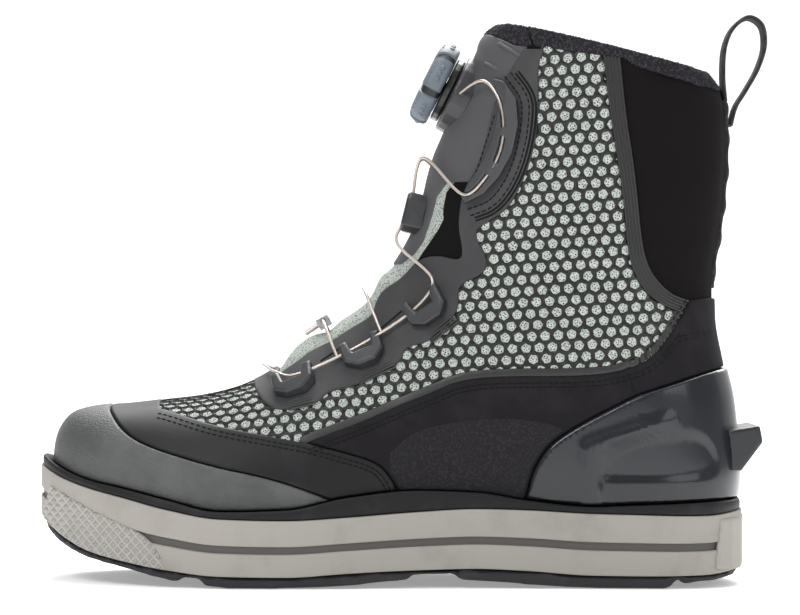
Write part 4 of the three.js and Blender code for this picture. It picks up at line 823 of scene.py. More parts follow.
def capsules(a, b, normal, radius):
    # A small capsule from each point a to each point b
    length = np.linalg.norm(b - a, axis=1)[:, None]
    way = (b - a) / length
    side = np.cross(normal, way)
    side = side / np.linalg.norm(side, axis=1, keepdims=True)
    up = np.cross(way, side)
    ring = (np.arange(6) * math.pi / 3)[None, None, :, None]
    station = np.array([-1, -0.75, 0, 0.75, 1])[None, :, None, None]
    size = np.array([0.4, 0.9, 1, 0.9, 0.4])[None, :, None, None] * radius
    points = ((a + b) / 2)[:, None, None] + way[:, None, None] * station * length[:, None, None] / 2
    points = points + size * (np.cos(ring) * side[:, None, None] + np.sin(ring) * up[:, None, None])
    one = np.concatenate([gridFaces(5, 6, True), [[3, 2, 1, 0], [5, 4, 3, 0], [24, 25, 26, 27], [24, 27, 28, 29]]])
    faces = (one[None] + (np.arange(len(a)) * 30)[:, None, None]).reshape(-1, 4)
    return points.reshape(-1, 3), faces


def stitchRow(line, lift, step=2.6, length=1.9, radius=0.34, offset=0.0):
    # Stitches along a line, on both sides
    centre, way = spaced(line, step, offset)
    parts = []
    for side in (-1, 1):
        a, n = onFace(centre - way * length / 2, side, lift)
        b, _ = onFace(centre + way * length / 2, side, lift)
        parts.append(capsules(a, b, n, radius))
    return join(parts)


def bead(line, sides, width, height, lift, offset=0.0, step=1.2):
    # A low round ridge along a line
    centre, way = spaced(line, step, offset)
    across = np.stack([-way[:, 1], way[:, 0]], -1)
    count = np.arange(len(centre))
    taper = np.sqrt(np.clip(np.minimum(count, count[::-1]) / 1.5, 0, 1))
    parts = []
    for side in sides:
        rows = [
            onFace(centre + across * (math.cos(a) * width), side, lift + height * math.sin(a) * taper)[0]
            for a in np.linspace(0, math.pi, 7)
        ]
        parts.append((np.array(rows).reshape(-1, 3), gridFaces(7, len(centre))))
    return join(parts)


def sideLine(*rows):
    return np.array([(xAt(at), up * bootHeight) for at, up in rows])


# Shell of the upper: cloth outside, lining inside, meeting round collar and throat
shell = {
    "wall": 2.4,
    "edge": 1.2,
    "cloth": {"color": (0.0070, 0.0060, 0.0062), "roughness": 0.95, "specular": 0.08,
              "surface": [("weave", 1500, 0.5, 0.12), ("speck", 3800, 0.3, 0.05)]},
    "lining": {"color": (0.020, 0.019, 0.022), "roughness": 0.95, "specular": 0.2,
               "surface": [("weave", 900, 0.6, 0.25)]},
}
shellField = np.maximum(-throatField, -overCuffLine - 1.5)[::2, ::2]
for word, reach in (("cloth", 0.0), ("lining", -shell["wall"])):
    points, faces = panelMesh(shellField, 0, -shell["wall"] / 2, reach, shell["edge"],
                              upperGrid[::2, ::2], upperNormals[::2, ::2])
    addMesh(f"upper_{word}", points, faces, material(f"upper_{word}", **shell[word]), "upper",
            ("upper",) if word == "cloth" else (), 180)

# Overlays of toe, vamp, quarter and lacing
overlays = {
    "toe_cap_leather": {
        "node": "toe_cap", "field": np.maximum(capField, overRim), "thickness": 1.7, "edge": 1.3,
        "look": {"color": (0.078, 0.080, 0.081), "roughness": 0.52, "specular": 0.4, "worn": (0.050, 0.052, 0.053),
                 "wear": (22, 0.4, 0.65), "surface": [("grain", 1150, 0.85, 0.35), ("speck", 3500, 0.2, 0.05)]},
    },
    "toe_guard_leather": {
        "node": "toe_guard", "field": np.maximum(guardField + 0.15, overRim), "thickness": 1.4, "edge": 0.9,
        "look": {"color": (0.0085, 0.0085, 0.0095), "roughness": 0.50, "specular": 0.22, "worn": (0.014, 0.014, 0.016),
                 "wear": (40, 0.5, 0.7), "surface": [("grain", 2600, 0.3, 0.08)]},
    },
    "quarter_leather": {
        "node": "quarter", "field": np.maximum(quarterField + 0.15, overRim), "thickness": 1.4, "edge": 0.9,
        "look": {"color": (0.0105, 0.0095, 0.0112), "roughness": 0.85, "specular": 0.12, "worn": (0.016, 0.014, 0.017),
                 "wear": (60, 0.45, 0.7), "surface": [("grain", 3200, 0.35, 0.08), ("speck", 5000, 0.4, 0.05)]},
    },
    "eyestay_film": {
        "node": "eyestay", "field": np.maximum(eyestayField + 0.15, -overCuffLine), "thickness": 1.4, "edge": 0.8,
        "look": {"color": (0.036, 0.036, 0.038), "roughness": 0.60, "specular": 0.25, "worn": (0.048, 0.048, 0.051),
                 "wear": (30, 0.4, 0.7), "surface": [("grain", 2800, 0.2, 0.06)]},
    },
}
for name, one in overlays.items():
    points, faces = panelMesh(one["field"], 0, -0.2, one["thickness"], one["edge"])
    addMesh(name, points, faces, material(name, **one["look"]), one["node"], (one["node"],), 180)

# Arch: a coarser panel let into the quarter
arch = {
    "top": [(0.502, 0.235), (0.466, 0.276), (0.416, 0.289), (0.369, 0.298), (0.305, 0.297), (0.262, 0.283)],
    "raise": 1.75,
    "edge": 0.8,
    "look": {"color": (0.0095, 0.0085, 0.0100), "roughness": 0.70, "specular": 0.18, "worn": (0.021, 0.019, 0.022),
             "wear": (900, 0.5, 0.62), "surface": [("grain", 1500, 0.8, 0.2), ("speck", 4200, 0.3, 0.06)]},
}
archLine = rounded(arch["top"])
archField = fieldOf(closed(archLine, corner(0.20, 0.06), corner(0.50, 0.06)))
archField = np.maximum.reduce([archField, quarterField + 1.2, overRim])
points, faces = panelMesh(archField, 0, 1.2, arch["raise"], arch["edge"])
addMesh("arch_panel", points, faces, material("arch_panel", **arch["look"]), "quarter", (), 180)
print("overlays raised")

# Caged panel: dark film, a web of six-sided cells and a dot of pale textile in each
cage = {
    "pitch": 5.8,          # between cells
    "rise": 4.0,           # turn of the rows, degrees
    "spokes": 12,          # points round a cell
    "web": [(0.0, 1.15), (0.34, 0.60)],   # step in from the cell's edge, height
    "bowl": [(2.5, 0.42), (2.2, 0.12)],   # radius, height
    "dot": [(2.12, 0.16), (1.65, 0.46), (0.6, 0.61)],
    "lobes": 0.10,         # waviness of a dot's edge
    "pins": 6,             # pinholes in a dot
    "pinRadius": 0.31,
    "border": 3.2,
    "film": {"color": (0.0055, 0.0058, 0.0055), "roughness": 0.7, "specular": 0.2},
    "webLook": {"color": (0.018, 0.0185, 0.018), "roughness": 0.42, "specular": 0.4,
                "surface": [("speck", 3000, 0.3, 0.05)]},
    "dotLook": {"color": (0.50, 0.54, 0.50), "roughness": 0.95, "specular": 0.1, "worn": (0.27, 0.29, 0.27),
                "wear": (1400, 0.48, 0.60), "surface": [("speck", 2300, 1.0, 0.35)]},
    "pinLook": {"color": (0.006, 0.006, 0.006), "roughness": 0.9, "specular": 0.1},
}
flatMap = unrolled()
ribOutline = closed(lines["ribLeft"], lines["ribRight"][::-1])
random = np.random.default_rng(7)
points, faces = panelMesh((hexField - 2.5)[::2, ::2], 0, -0.2, 0.10, 0.4, upperGrid[::2, ::2], upperNormals[::2, ::2])
addMesh("cage_film", points, faces, material("cage_film", **cage["film"]), "mesh_panel", ("mesh_panel",), 180)


def cellCentres(side):
    turn = math.radians(cage["rise"])
    rows, columns = np.meshgrid(np.arange(-45, 46), np.arange(-60, 61), indexing="ij")
    x = (columns + 0.5 * (rows % 2)) * cage["pitch"]
    z = rows * cage["pitch"] * math.sqrt(0.75)
    start = np.array([xAt(0.35), 0.60 * bootHeight])
    flat = np.stack([x * math.cos(turn) - z * math.sin(turn), x * math.sin(turn) + z * math.cos(turn)], -1)
    flat = flat.reshape(-1, 2) + start
    rc = locate(flat, side, flatMap)
    miss = np.linalg.norm(sample(flatMap, rc) - flat, axis=1)
    keep = (sample(hexField[..., None], rc)[:, 0] < 2.6) & (miss < 2.4)
    return flat[keep]


def onCells(centres, side, radius, angle, height):
    # Points round every centre, on the face: centres x spokes
    flat = centres[:, None] + np.stack([radius * np.cos(angle), radius * np.sin(angle)], -1)
    shape = flat.shape[:2]
    place, n = onFace(flat.reshape(-1, 2), side, 0.0, flatMap)
    underRibs = insideDistance(place[:, [0, 2]], ribOutline) < 0.3
    lift = np.broadcast_to(height, shape).reshape(-1) * np.where(underRibs, 0.2, 1.0)
    return (place + n * lift[:, None]).reshape(*shape, 3)


def ringFaces(centres, rings, spokes):
    one = gridFaces(rings, spokes, True)
    return (one[None] + (np.arange(centres) * rings * spokes)[:, None, None]).reshape(-1, 4)


webParts, dotParts, pinParts = [], [], []
spokes = cage["spokes"]
angle = np.arange(spokes) / spokes * 2 * math.pi + math.radians(cage["rise"])
apothem = cage["pitch"] / 2
sixSided = apothem / np.cos((angle - math.radians(cage["rise"]) + math.pi / 6) % (math.pi / 3) - math.pi / 6)
for side in (-1, 1):
    centres = cellCentres(side)
    count = len(centres)
    rings = [onCells(centres, side, sixSided - step, angle, height) for step, height in cage["web"]]
    rings += [onCells(centres, side, np.minimum(radius, sixSided - 0.5), angle, height) for radius, height in cage["bowl"]]
    webParts.append((np.stack(rings, 1).reshape(-1, 3), ringFaces(count, len(rings), spokes)))
    phase = random.uniform(0, 2 * math.pi, (count, 1))
    wave = 1 + cage["lobes"] * np.cos(7 * angle[None] + phase) + random.uniform(-0.04, 0.04, (count, spokes))
    rings = [onCells(centres, side, radius * wave, angle[None], height) for radius, height in cage["dot"]]
    faces = ringFaces(count, len(rings), spokes).tolist()
    faces += ((np.arange(count)[:, None] + 1) * len(rings) * spokes - 1 - np.arange(spokes)[::-1]).tolist()
    dotParts.append((np.stack(rings, 1).reshape(-1, 3), faces))
    for pin in range(cage["pins"]):
        turn = phase[:, 0] + pin * 2 * math.pi / (cage["pins"] - 1) + random.uniform(-0.3, 0.3, count)
        far = random.uniform(0.75, 1.45, count) if pin else random.uniform(0.0, 0.3, count)
        place = centres + np.stack([np.cos(turn) * far, np.sin(turn) * far], -1)
        size = cage["pinRadius"] * random.uniform(0.7, 1.25, (count, 1))
        ring = np.arange(6) / 6 * 2 * math.pi
        points = onCells(place, side, size, ring[None], (0.66 - 0.08 * far)[:, None])
        one = np.array([[0, 1, 2, 3], [0, 3, 4, 5]])
        pinParts.append((points.reshape(-1, 3), (one[None] + (np.arange(count) * 6)[:, None, None]).reshape(-1, 4)))
for word, parts, look in (("web", webParts, "webLook"), ("dots", dotParts, "dotLook"), ("pins", pinParts, "pinLook")):
    points, faces = join(parts)
    addMesh(f"cage_{word}", points, faces, material(f"cage_{word}", **cage[look]), "mesh_panel", (), 50)
borderField = np.maximum(hexField - 0.6, near(lines["hexLow"]) - cage["border"])
points, faces = panelMesh(borderField, 0, 0.2, 1.25, 0.7)
addMesh("cage_border", points, faces, material("cage_border", **cage["webLook"]), "mesh_panel", (), 180)
print("cage made")

# Ribbed strips beside the caged panel: ridges that follow the strip
ribs = {
    "height": 1.1, "depth": 0.55, "count": 5, "wide": 0.5,
    "look": {"color": (0.0115, 0.011, 0.012), "roughness": 0.5, "specular": 0.5},
}


def evenly(line, count=70):
    run = np.concatenate([[0], np.cumsum(np.linalg.norm(np.diff(line, axis=0), axis=1))])
    return np.stack([np.interp(np.linspace(0, run[-1], count), run, line[:, k]) for k in (0, 1)], -1)


ribEdges = evenly(lines["ribLeft"]), evenly(lines["ribRight"])
for side, word in ((-1, "outer"), (1, "inner")):
    parts = [panelMesh(np.maximum(ribField + 0.1, -overCuffLine), side, -0.2, ribs["height"], 0.6)]
    for k in range(ribs["count"]):
        ridge = mix(*ribEdges, (k + 0.5) / ribs["count"])
        parts.append(bead(ridge, (side,), ribs["wide"], ribs["depth"], ribs["height"] - 0.1))
    points, faces = join(parts)
    addMesh(f"ribs_{word}", points, faces, material(f"ribs_{word}", **ribs["look"]), f"rib_strip_{word}",
            (f"rib_strip_{word}",), 180)

# Heel counter: a glossy shell with a Z-shaped ridge over a hollow
counter = {
    "thickness": 2.6, "edge": 1.6, "ridge": 1.4, "hollow": 0.9,
    "ridgeLine": [
        (0.236, 0.120), (0.236, 0.246), (0.226, 0.262), (0.110, 0.306), (0.104, 0.298), (0.150, 0.272),
        (0.210, 0.246), (0.212, 0.190), (0.206, 0.170), (0.206, 0.120), (0.236, 0.120),
    ],
    "hollowLine": [
        (0.204, 0.190), (0.202, 0.240), (0.120, 0.274), (0.060, 0.270), (0.040, 0.200), (0.100, 0.190), (0.204, 0.190),
    ],
    "look": {"color": (0.0085, 0.0100, 0.0135), "roughness": 0.24, "specular": 0.38, "worn": (0.014, 0.016, 0.021),
             "wear": (25, 0.4, 0.8), "surface": [("speck", 900, 0.05, 0.1)], "coat": 0.15},
}


def counterRelief(points, rc, value):
    xz = points[:, [0, 2]]
    ridge = insideDistance(xz, rounded(counter["ridgeLine"], 1))
    hollow = insideDistance(xz, rounded(counter["hollowLine"]))
    return counter["ridge"] * smooth(1.6, -1.2, ridge) - counter["hollow"] * smooth(0.6, -1.6, hollow)


points, faces = panelMesh(np.maximum(counterField + 0.15, overRim), 0, -0.2, counter["thickness"], counter["edge"],
                          extra=counterRelief)
addMesh("counter_shell", points, faces, material("counter_shell", **counter["look"]), "heel_counter",
        ("heel_counter",), 180)

# Seams: stitch rows, dark seam lines and ribbed patches under the guides
seams = {
    "thread": {"color": (0.0035, 0.0035, 0.0035), "roughness": 0.8, "specular": 0.2},
    "patchRibs": 4, "patchDepth": 3.4, "patchMove": -5.0,
    "patches": [
        [(0.647, 0.333), (0.609, 0.345)], [(0.552, 0.379), (0.501, 0.409)], [(0.455, 0.450), (0.419, 0.488)],
    ],
    "rear": [[(0.099, 0.435), (0.053, 0.448)], [(0.108, 0.462), (0.097, 0.484), (0.088, 0.500)]],
    "dark": [
        [(0.172, 0.379), (0.161, 0.342)], [(0.600, 0.390), (0.568, 0.418)], [(0.514, 0.450), (0.482, 0.486)],
    ],
    "arcs": [
        (0.336, 0.902), (0.315, 0.865), (0.313, 0.832), (0.320, 0.770), (0.336, 0.715), (0.359, 0.675), (0.388, 0.662),
    ],
    "inner": [(0.356, 0.830), (0.369, 0.778), (0.380, 0.734), (0.392, 0.704)],
    "patchLook": {"color": (0.020, 0.020, 0.021), "roughness": 0.5, "specular": 0.5},
}
rows = [
    stitchRow(lines["hexLow"][:-4], 1.40, offset=-3.4), stitchRow(lines["hexLow"][:-4], 1.40, offset=-5.2),
    stitchRow(lines["guard"][7:], 1.40, offset=-2.6), stitchRow(lines["guard"][7:], 1.40, offset=-4.4),
    stitchRow(lines["guardBack"], 1.40, offset=-2.6), stitchRow(lines["guardBack"], 1.40, offset=-4.4),
    stitchRow(rounded(seams["inner"]), 1.40),
    stitchRow(rounded(seams["arcs"]), 1.42, length=2.0, offset=1.5),
    stitchRow(rounded(seams["arcs"]), 1.42, length=2.0, offset=-1.5),
]
rows += [stitchRow(rounded(line, 1), 1.40, offset=offset) for line in seams["rear"] for offset in (0.0, 1.8)]
rows += [bead(sideLine(*line), (-1, 1), 0.45, 0.35, 1.3) for line in seams["dark"]]
rows += [bead(rounded(seams["arcs"]), (-1, 1), 0.5, 0.3, 1.3, offset=offset) for offset in (3.0, 4.4)]
points, faces = join(rows)
addMesh("seams", points, faces, material("seams", **seams["thread"]), "eyestay", (), 60)
rows = []
for line in seams["patches"]:
    for k in range(seams["patchRibs"]):
        offset = seams["patchMove"] + (k / (seams["patchRibs"] - 1) - 0.5) * seams["patchDepth"]
        rows.append(bead(sideLine(*line), (-1, 1), 0.38, 0.55, 1.3, offset=offset))
points, faces = join(rows)
addMesh("ribbed_patches", points, faces, material("ribbed_patches", **seams["patchLook"]), "eyestay", (), 60)
print("seams sewn")

# Tongue: padded skin across the throat, with a film flap above, mesh below and a dark gusset beside
tongue = {
    "sink": 0.2, "thick": 3.2, "edge": 1.5,
    "dips": [0.530, 0.590, 0.660], "dipWide": 0.013, "bulge": 1.5,
    "filmLine": [
        (0.360, 0.715), (0.424, 0.715), (0.438, 0.690), (0.444, 0.658), (0.456, 0.612), (0.469, 0.588), (0.488, 0.570),
    ],
    "gussetLine": [
        (0.380, 0.740), (0.423, 0.711), (0.430, 0.664), (0.428, 0.646), (0.463, 0.581), (0.488, 0.530), (0.420, 0.540),
        (0.390, 0.600), (0.395, 0.690),
    ],
    "ridges": [[(0.353, 0.965), (0.308, 0.925)], [(0.372, 0.930), (0.352, 0.915)]],
    "mesh": {"color": (0.38, 0.41, 0.38), "roughness": 0.95, "specular": 0.1, "worn": (0.10, 0.11, 0.10),
             "wear": (1300, 0.5, 0.6), "surface": [("speck", 2400, 0.9, 0.35)]},
    "film": {"color": (0.062, 0.062, 0.067), "roughness": 0.6, "specular": 0.3, "surface": [("grain", 2800, 0.2, 0.06)]},
    "gusset": {"color": (0.006, 0.0058, 0.006), "roughness": 0.95, "specular": 0.08,
               "surface": [("weave", 1500, 0.5, 0.12)]},
}
underCuff = fieldOf(closed(sideLine(*tongueCuff), corner(0.20, 0.93), corner(0.10, 1.2), corner(0.44, 1.2)))
tongueField = np.maximum(throatField - 1.2, -underCuff - 0.5)


def scallops(points, rc, value):
    # Swells between the bars of the cable
    at = alongAt(points[:, 0])
    rise = smooth(0.500, 0.515, at) * smooth(0.67, 0.65, at)
    for dip in tongue["dips"]:
        rise = rise * (1 - np.exp(-(((at - dip) / tongue["dipWide"]) ** 2)))
    return tongue["bulge"] * rise * smooth(0, 4, -value)


points, faces = join([
    panelMesh(tongueField, 0, -tongue["thick"] / 2, -tongue["sink"] - 0.3, tongue["edge"], extra=scallops),
    panelMesh(tongueField[::2, ::2], 0, -tongue["thick"] / 2, -tongue["thick"], tongue["edge"],
              upperGrid[::2, ::2], upperNormals[::2, ::2]),
])
skin = addMesh("tongue_pad", points, faces, material("tongue_pad", **tongue["mesh"]), "tongue", ("tongue",), 180)
filmField = fieldOf(closed(sideLine(*tongue["filmLine"]), corner(0.60, 0.57), corner(0.60, 1.2), corner(0.28, 1.2),
                           corner(0.28, 0.80)))
gussetField = fieldOf(closed(rounded(tongue["gussetLine"], 1)))
for word, field, height in (("film", filmField, 0.35), ("gusset", gussetField, 0.1)):
    points, faces = panelMesh(np.maximum(tongueField, field), 0, -0.7, height, 0.7)
    addMesh(f"tongue_{word}", points, faces, material(f"tongue_{word}", **tongue[word]), "tongue", (), 180)
points, faces = join([bead(sideLine(*line), (-1, 1), 1.0, 1.1, 0.2) for line in tongue["ridges"]])
addMesh("tongue_ridges", points, faces, material("tongue_ridges", **tongue["film"]), "tongue", (), 180)

# Route of the cable, as in the solids: over a side where up is given, else over the ridge
cable = {
    "radius": 0.65, "lift": 4.8, "sides": 12, "strands": 3, "twist": 1.6, "depth": 0.06,
    "route": [
        # at, up, aside, lift
        (0.410, None, 11.4, -1.4), (0.362, 0.893, 0, 0), (0.345, 0.862, 0, -0.6), (0.339, 0.815, 0, -0.8),
        (0.346, 0.765, 0, -0.8), (0.364, 0.722, 0, -0.6), (0.390, 0.690, 0, 0), (0.444, None, 9, 0.2),
        (0.462, None, 6, -0.6), (0.480, None, 9, 0.2), (0.437, 0.535, 0, -0.4), (0.453, 0.498, 0, -0.8),
        (0.541, 0.415, 0, -0.8), (0.635, 0.359, 0, -0.8), (0.655, 0.362, 0, -0.4), (0.672, None, 0, 0.6),
    ],
    "bars": [(-1, 0.530, 3.2), (1, 0.590, 3.4)],   # leg of the middle guide, at, lift
    "legSpread": 6.3, "barAside": 13, "barRise": 1.2, "middleGuide": 12,
    "look": {"color": (0.52, 0.46, 0.42), "roughness": 0.34, "metallic": 0.75},
}
ridgeShares = np.linspace(1, 0.05, 4000)
ridgeAts = alongAt(fanAt(ridgeShares)[:, 2])


def overRidge(at, lift, aside=0.0):
    u = np.interp(at, ridgeAts, ridgeShares)
    here, ahead = fanAt(np.array([u]))[0, [2, 3]], fanAt(np.array([u + 0.02]))[0, [2, 3]]
    n = np.array([here[1] - ahead[1], ahead[0] - here[0]])
    n = n / np.linalg.norm(n)
    return np.array([here[0] + n[0] * lift, aside, here[1] + n[1] * lift])


def smoothLine(points, places):
    # Centripetal curve through points
    p = np.asarray(points, float)
    p = np.concatenate([[2 * p[0] - p[1]], p, [2 * p[-1] - p[-2]]])
    f = np.clip(np.asarray(places, float), 0, 1) * (len(p) - 3)
    i = np.minimum(f.astype(int), len(p) - 4)
    w = (f - i)[:, None]
    p0, p1, p2, p3 = p[i], p[i + 1], p[i + 2], p[i + 3]
    d0, d1, d2 = (np.sqrt(np.linalg.norm(b - a, axis=1, keepdims=True)) for a, b in ((p0, p1), (p1, p2), (p2, p3)))
    m1 = ((p1 - p0) / d0 - (p2 - p0) / (d0 + d1) + (p2 - p1) / d1) * d1
    m2 = ((p2 - p1) / d1 - (p3 - p1) / (d1 + d2) + (p3 - p2) / d2) * d1
    return ((2 * w**3 - 3 * w**2 + 1) * p1 + (w**3 - 2 * w**2 + w) * m1
            + (3 * w**2 - 2 * w**3) * p2 + (w**3 - w**2) * m2)


def sweep(line, section, turn=0.0, lobes=0, depth=0.0):
    # A closed section (points x, y) swept along a line, turning with it
    way = np.gradient(line, axis=0)
    way = way / np.linalg.norm(way, axis=1, keepdims=True)
    side = np.zeros_like(line)
    side[0] = np.cross(way[0], (0.3, 0.9, 0.2))
    for k in range(len(line)):
        start = side[max(k - 1, 0)]
        side[k] = start - way[k] * (start @ way[k])
        side[k] /= np.linalg.norm(side[k])
    up = np.cross(way, side)
    run = np.concatenate([[0], np.cumsum(np.linalg.norm(np.diff(line, axis=0), axis=1))])
    angle = np.arctan2(section[:, 1], section[:, 0])[None]
    size = (1 + depth * np.cos(lobes * angle + turn * run[:, None]))[..., None]
    flat = side[:, None] * section[None, :, :1] + up[:, None] * section[None, :, 1:]
    return (line[:, None] + flat * size).reshape(-1, 3), gridFaces(len(line), len(section), True)


def circle(radius, sides):
    a = np.arange(sides) / sides * 2 * math.pi
    return np.stack([np.cos(a), np.sin(a)], -1) * radius


def cableRoute(side):
    points = []
    for at, up, aside, lift in cable["route"]:
        if up is None:
            points.append(overRidge(at, cable["lift"] + lift, side * aside))
        else:
            points.append(onFace(sideLine((at, up)), side, cable["lift"] + lift)[0][0])
    return np.array(points)


routes = {side: cableRoute(side) for side in (-1, 1)}
runs = {side: smoothLine(route, np.linspace(0, 1, 500)) for side, route in routes.items()}
cableLines = list(runs.values())
for leg, at, lift in cable["bars"]:
    ends = []
    for side in (-1, 1):
        length = np.linalg.norm(np.diff(runs[side], axis=0), axis=1).sum()
        place = cable["middleGuide"] / (len(cable["route"]) - 1) + leg * cable["legSpread"] / length
        ends.append(smoothLine(routes[side], [place])[0])
    across = [overRidge(at, lift + (cable["barRise"] if side == 0 else 0), side * cable["barAside"]) for side in (-1, 0, 1)]
    cableLines.append(smoothLine([ends[0], *across, ends[1]], np.linspace(0, 1, 120)))
section = circle(cable["radius"], cable["sides"])
points, faces = join([sweep(line, section, cable["twist"], cable["strands"], cable["depth"]) for line in cableLines])
addMesh("cable", points, faces, material("cable", **cable["look"]), "lace", ("lace",), 60)
print("cable laid")


# Hardware: the solids' shapes with their edges softened
def softened(name, node, voxel, look, times=3, cutters=(), swell=0.0):
    made = bpy.data.objects.new(name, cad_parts[node].data.copy())
    made.data.transform(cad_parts[node].matrix_world)
    bpy.context.scene.collection.objects.link(made)
    for cutter in cutters:
        cut = made.modifiers.new("cut", "BOOLEAN")
        cut.operation = "DIFFERENCE"
        cut.object = cutter
    remesh = made.modifiers.new("remesh", "REMESH")
    remesh.mode = "VOXEL"
    remesh.voxel_size = voxel / 1000
    relax = made.modifiers.new("relax", "SMOOTH")
    relax.factor = 0.5
    relax.iterations = times
    if swell:
        push = made.modifiers.new("swell", "DISPLACE")
        push.strength = swell / 1000
        push.mid_level = 0
    graph = bpy.context.evaluated_depsgraph_get()
    mesh = bpy.data.meshes.new_from_object(made.evaluated_get(graph))
    made.modifiers.clear()
    made.data = mesh
    mesh.materials.clear()
    mesh.materials.append(look)
    mesh.shade_smooth()
    mesh.set_sharp_from_angle(angle=math.radians(60))
    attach(made, "root")
    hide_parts(node)
    print(name, len(mesh.polygons))
    return made


def slotPath(side, low, high):
    # Points of the cable between two heights of the long guide, and the face's normals there
    run = runs[side][: len(runs[side]) // 2]
    up = run[:, 2] / bootHeight
    centre = run[(up < high) & (up > low) & (alongAt(run[:, 0]) < 0.393)][::3]
    return centre, onFace(centre[:, [0, 2]], side, 0)[1]


def slotCutter(centre, n, rise, wide, high):
    # A passing tool that opens a slot down to the cable
    way = np.gradient(centre, axis=0)
    across = np.cross(n, way / np.linalg.norm(way, axis=1, keepdims=True))
    across = across / np.linalg.norm(across, axis=1, keepdims=True)
    section = circle(1.0, 12)
    place = centre + n * rise
    grid = place[:, None] + across[:, None] * section[None, :, :1] * wide + n[:, None] * section[None, :, 1:] * high
    points = grid.reshape(-1, 3)
    faces = gridFaces(len(place), 12, True).tolist() + [tuple(range(11, -1, -1)), tuple(range(len(points) - 12, len(points)))]
    mesh = bpy.data.meshes.new("cutter")
    mesh.from_pydata((points / 1000).tolist(), [], faces)
    made = bpy.data.objects.new("cutter", mesh)
    bpy.context.scene.collection.objects.link(made)
    return made


hardware = {
    "voxel": 0.45,
    "slots": [(0.812, 0.868), (0.745, 0.796), (0.695, 0.728)],   # low and high end of each
    "slotWide": 1.5, "slotHigh": 3.6, "slotRise": 2.4,
    "guide": {"color": (0.019, 0.020, 0.023), "roughness": 0.42, "worn": (0.034, 0.035, 0.038), "wear": (90, 0.5, 0.7),
              "surface": [("speck", 1800, 0.1, 0.05)]},
    "topGuide": {"color": (0.036, 0.037, 0.040), "roughness": 0.45, "surface": [("speck", 1800, 0.1, 0.05)]},
    "dark": {"color": (0.006, 0.006, 0.007), "roughness": 0.35},
    "base": {"color": (0.026, 0.024, 0.028), "roughness": 0.4},
    "metal": {"color": (0.36, 0.36, 0.37), "roughness": 0.35, "metallic": 0.9, "worn": (0.12, 0.12, 0.12), "wear": (400, 0.5, 0.6)},
    "ledge": {"color": (0.012, 0.014, 0.017), "roughness": 0.3, "surface": [("speck", 1800, 0.08, 0.05)]},
}
guideLook = material("guide", **hardware["guide"])
topLook = material("top_guide", **hardware["topGuide"])
# Near-black plastic of the dial ring; the same colour also paints the shade in the long guides' slots
darkLook = material("dark_plastic_and_slot_shade", **hardware["dark"])
for side, word in ((-1, "outer"), (1, "inner")):
    for number in (1, 2, 3):
        softened(f"hook_{word}_{number}", f"guide_{word}_{number}", hardware["voxel"], guideLook, 2)
    paths = [slotPath(side, *ends) for ends in hardware["slots"]]
    cutters = [
        slotCutter(centre, n, hardware["slotRise"], hardware["slotWide"], hardware["slotHigh"]) for centre, n in paths
    ]
    softened(f"long_guide_{word}", f"top_guide_{word}", hardware["voxel"], topLook, 3, cutters)
    for cutter in cutters:
        bpy.data.objects.remove(cutter)
    # Dark tubes along the slot bottoms under the cable: painted shade in the slots, darker than the guide's plastic
    points, faces = join([sweep(centre - n * 1.3, circle(1.15, 10)) for centre, n in paths])
    addMesh(f"slot_shade_floors_{word}", points, faces, darkLook, f"top_guide_{word}", (), 60)
softened("tongue_loop", "tongue_guide", hardware["voxel"], guideLook)
softened("crimp", "cable_clip", 0.25, material("crimp", **hardware["metal"]), 2)
rod = np.array([overRidge(at, lift) for at, lift in ((0.586, 4.4), (0.600, 4.0), (0.618, 3.2))])
points, faces = sweep(smoothLine(rod, np.linspace(0, 1, 16)), circle(1.1, 12))
addMesh("crimp_rod", points, faces, material("crimp_rod", **cable["look"]), "cable_clip", (), 60)
softened("dial_foot", "dial_base", 0.7, material("dial_foot", **hardware["base"]), 3)
softened("dial_ring", "dial_housing", 0.5, darkLook, 2)
softened("ledge", "heel_ledge", 0.6, material("ledge", **hardware["ledge"]), 3)

# Knob: a dark core and six blue-grey blocks round it, each with raised dots
knob = {
    "at": 0.404, "blocks": 6, "gapTurn": 9.0, "turn": 12.0,
    "profile": [
        # radius, height over the ridge
        (14.0, 8.5), (17.6, 8.6), (18.6, 9.6), (18.95, 11.4), (18.95, 13.6), (18.2, 15.6), (16.6, 17.1), (14.0, 17.7),
        (7.0, 17.9), (0.0, 17.9),
    ],
    "coreInset": 0.8,
    "dots": [-9.0, 0.0, 9.0], "dotRadius": 1.3, "dotHeight": 0.8,
    "block": {"color": (0.105, 0.125, 0.150), "roughness": 0.5, "specular": 0.45, "surface": [("speck", 2600, 0.3, 0.06)]},
    "core": {"color": (0.006, 0.006, 0.007), "roughness": 0.5},
}
dialPlace = overRidge(knob["at"], 0.0)
dialOut = overRidge(knob["at"], 10.0) - dialPlace
dialOut = dialOut / np.linalg.norm(dialOut)
dialBasis = np.stack([np.array([0, -1.0, 0]), np.cross(dialOut, [0, -1.0, 0]), dialOut])


def roundDial(radius, angle, height):
    flat = np.stack([radius * np.cos(angle), radius * np.sin(angle), np.broadcast_to(height, angle.shape)], -1)
    return dialPlace + flat @ dialBasis


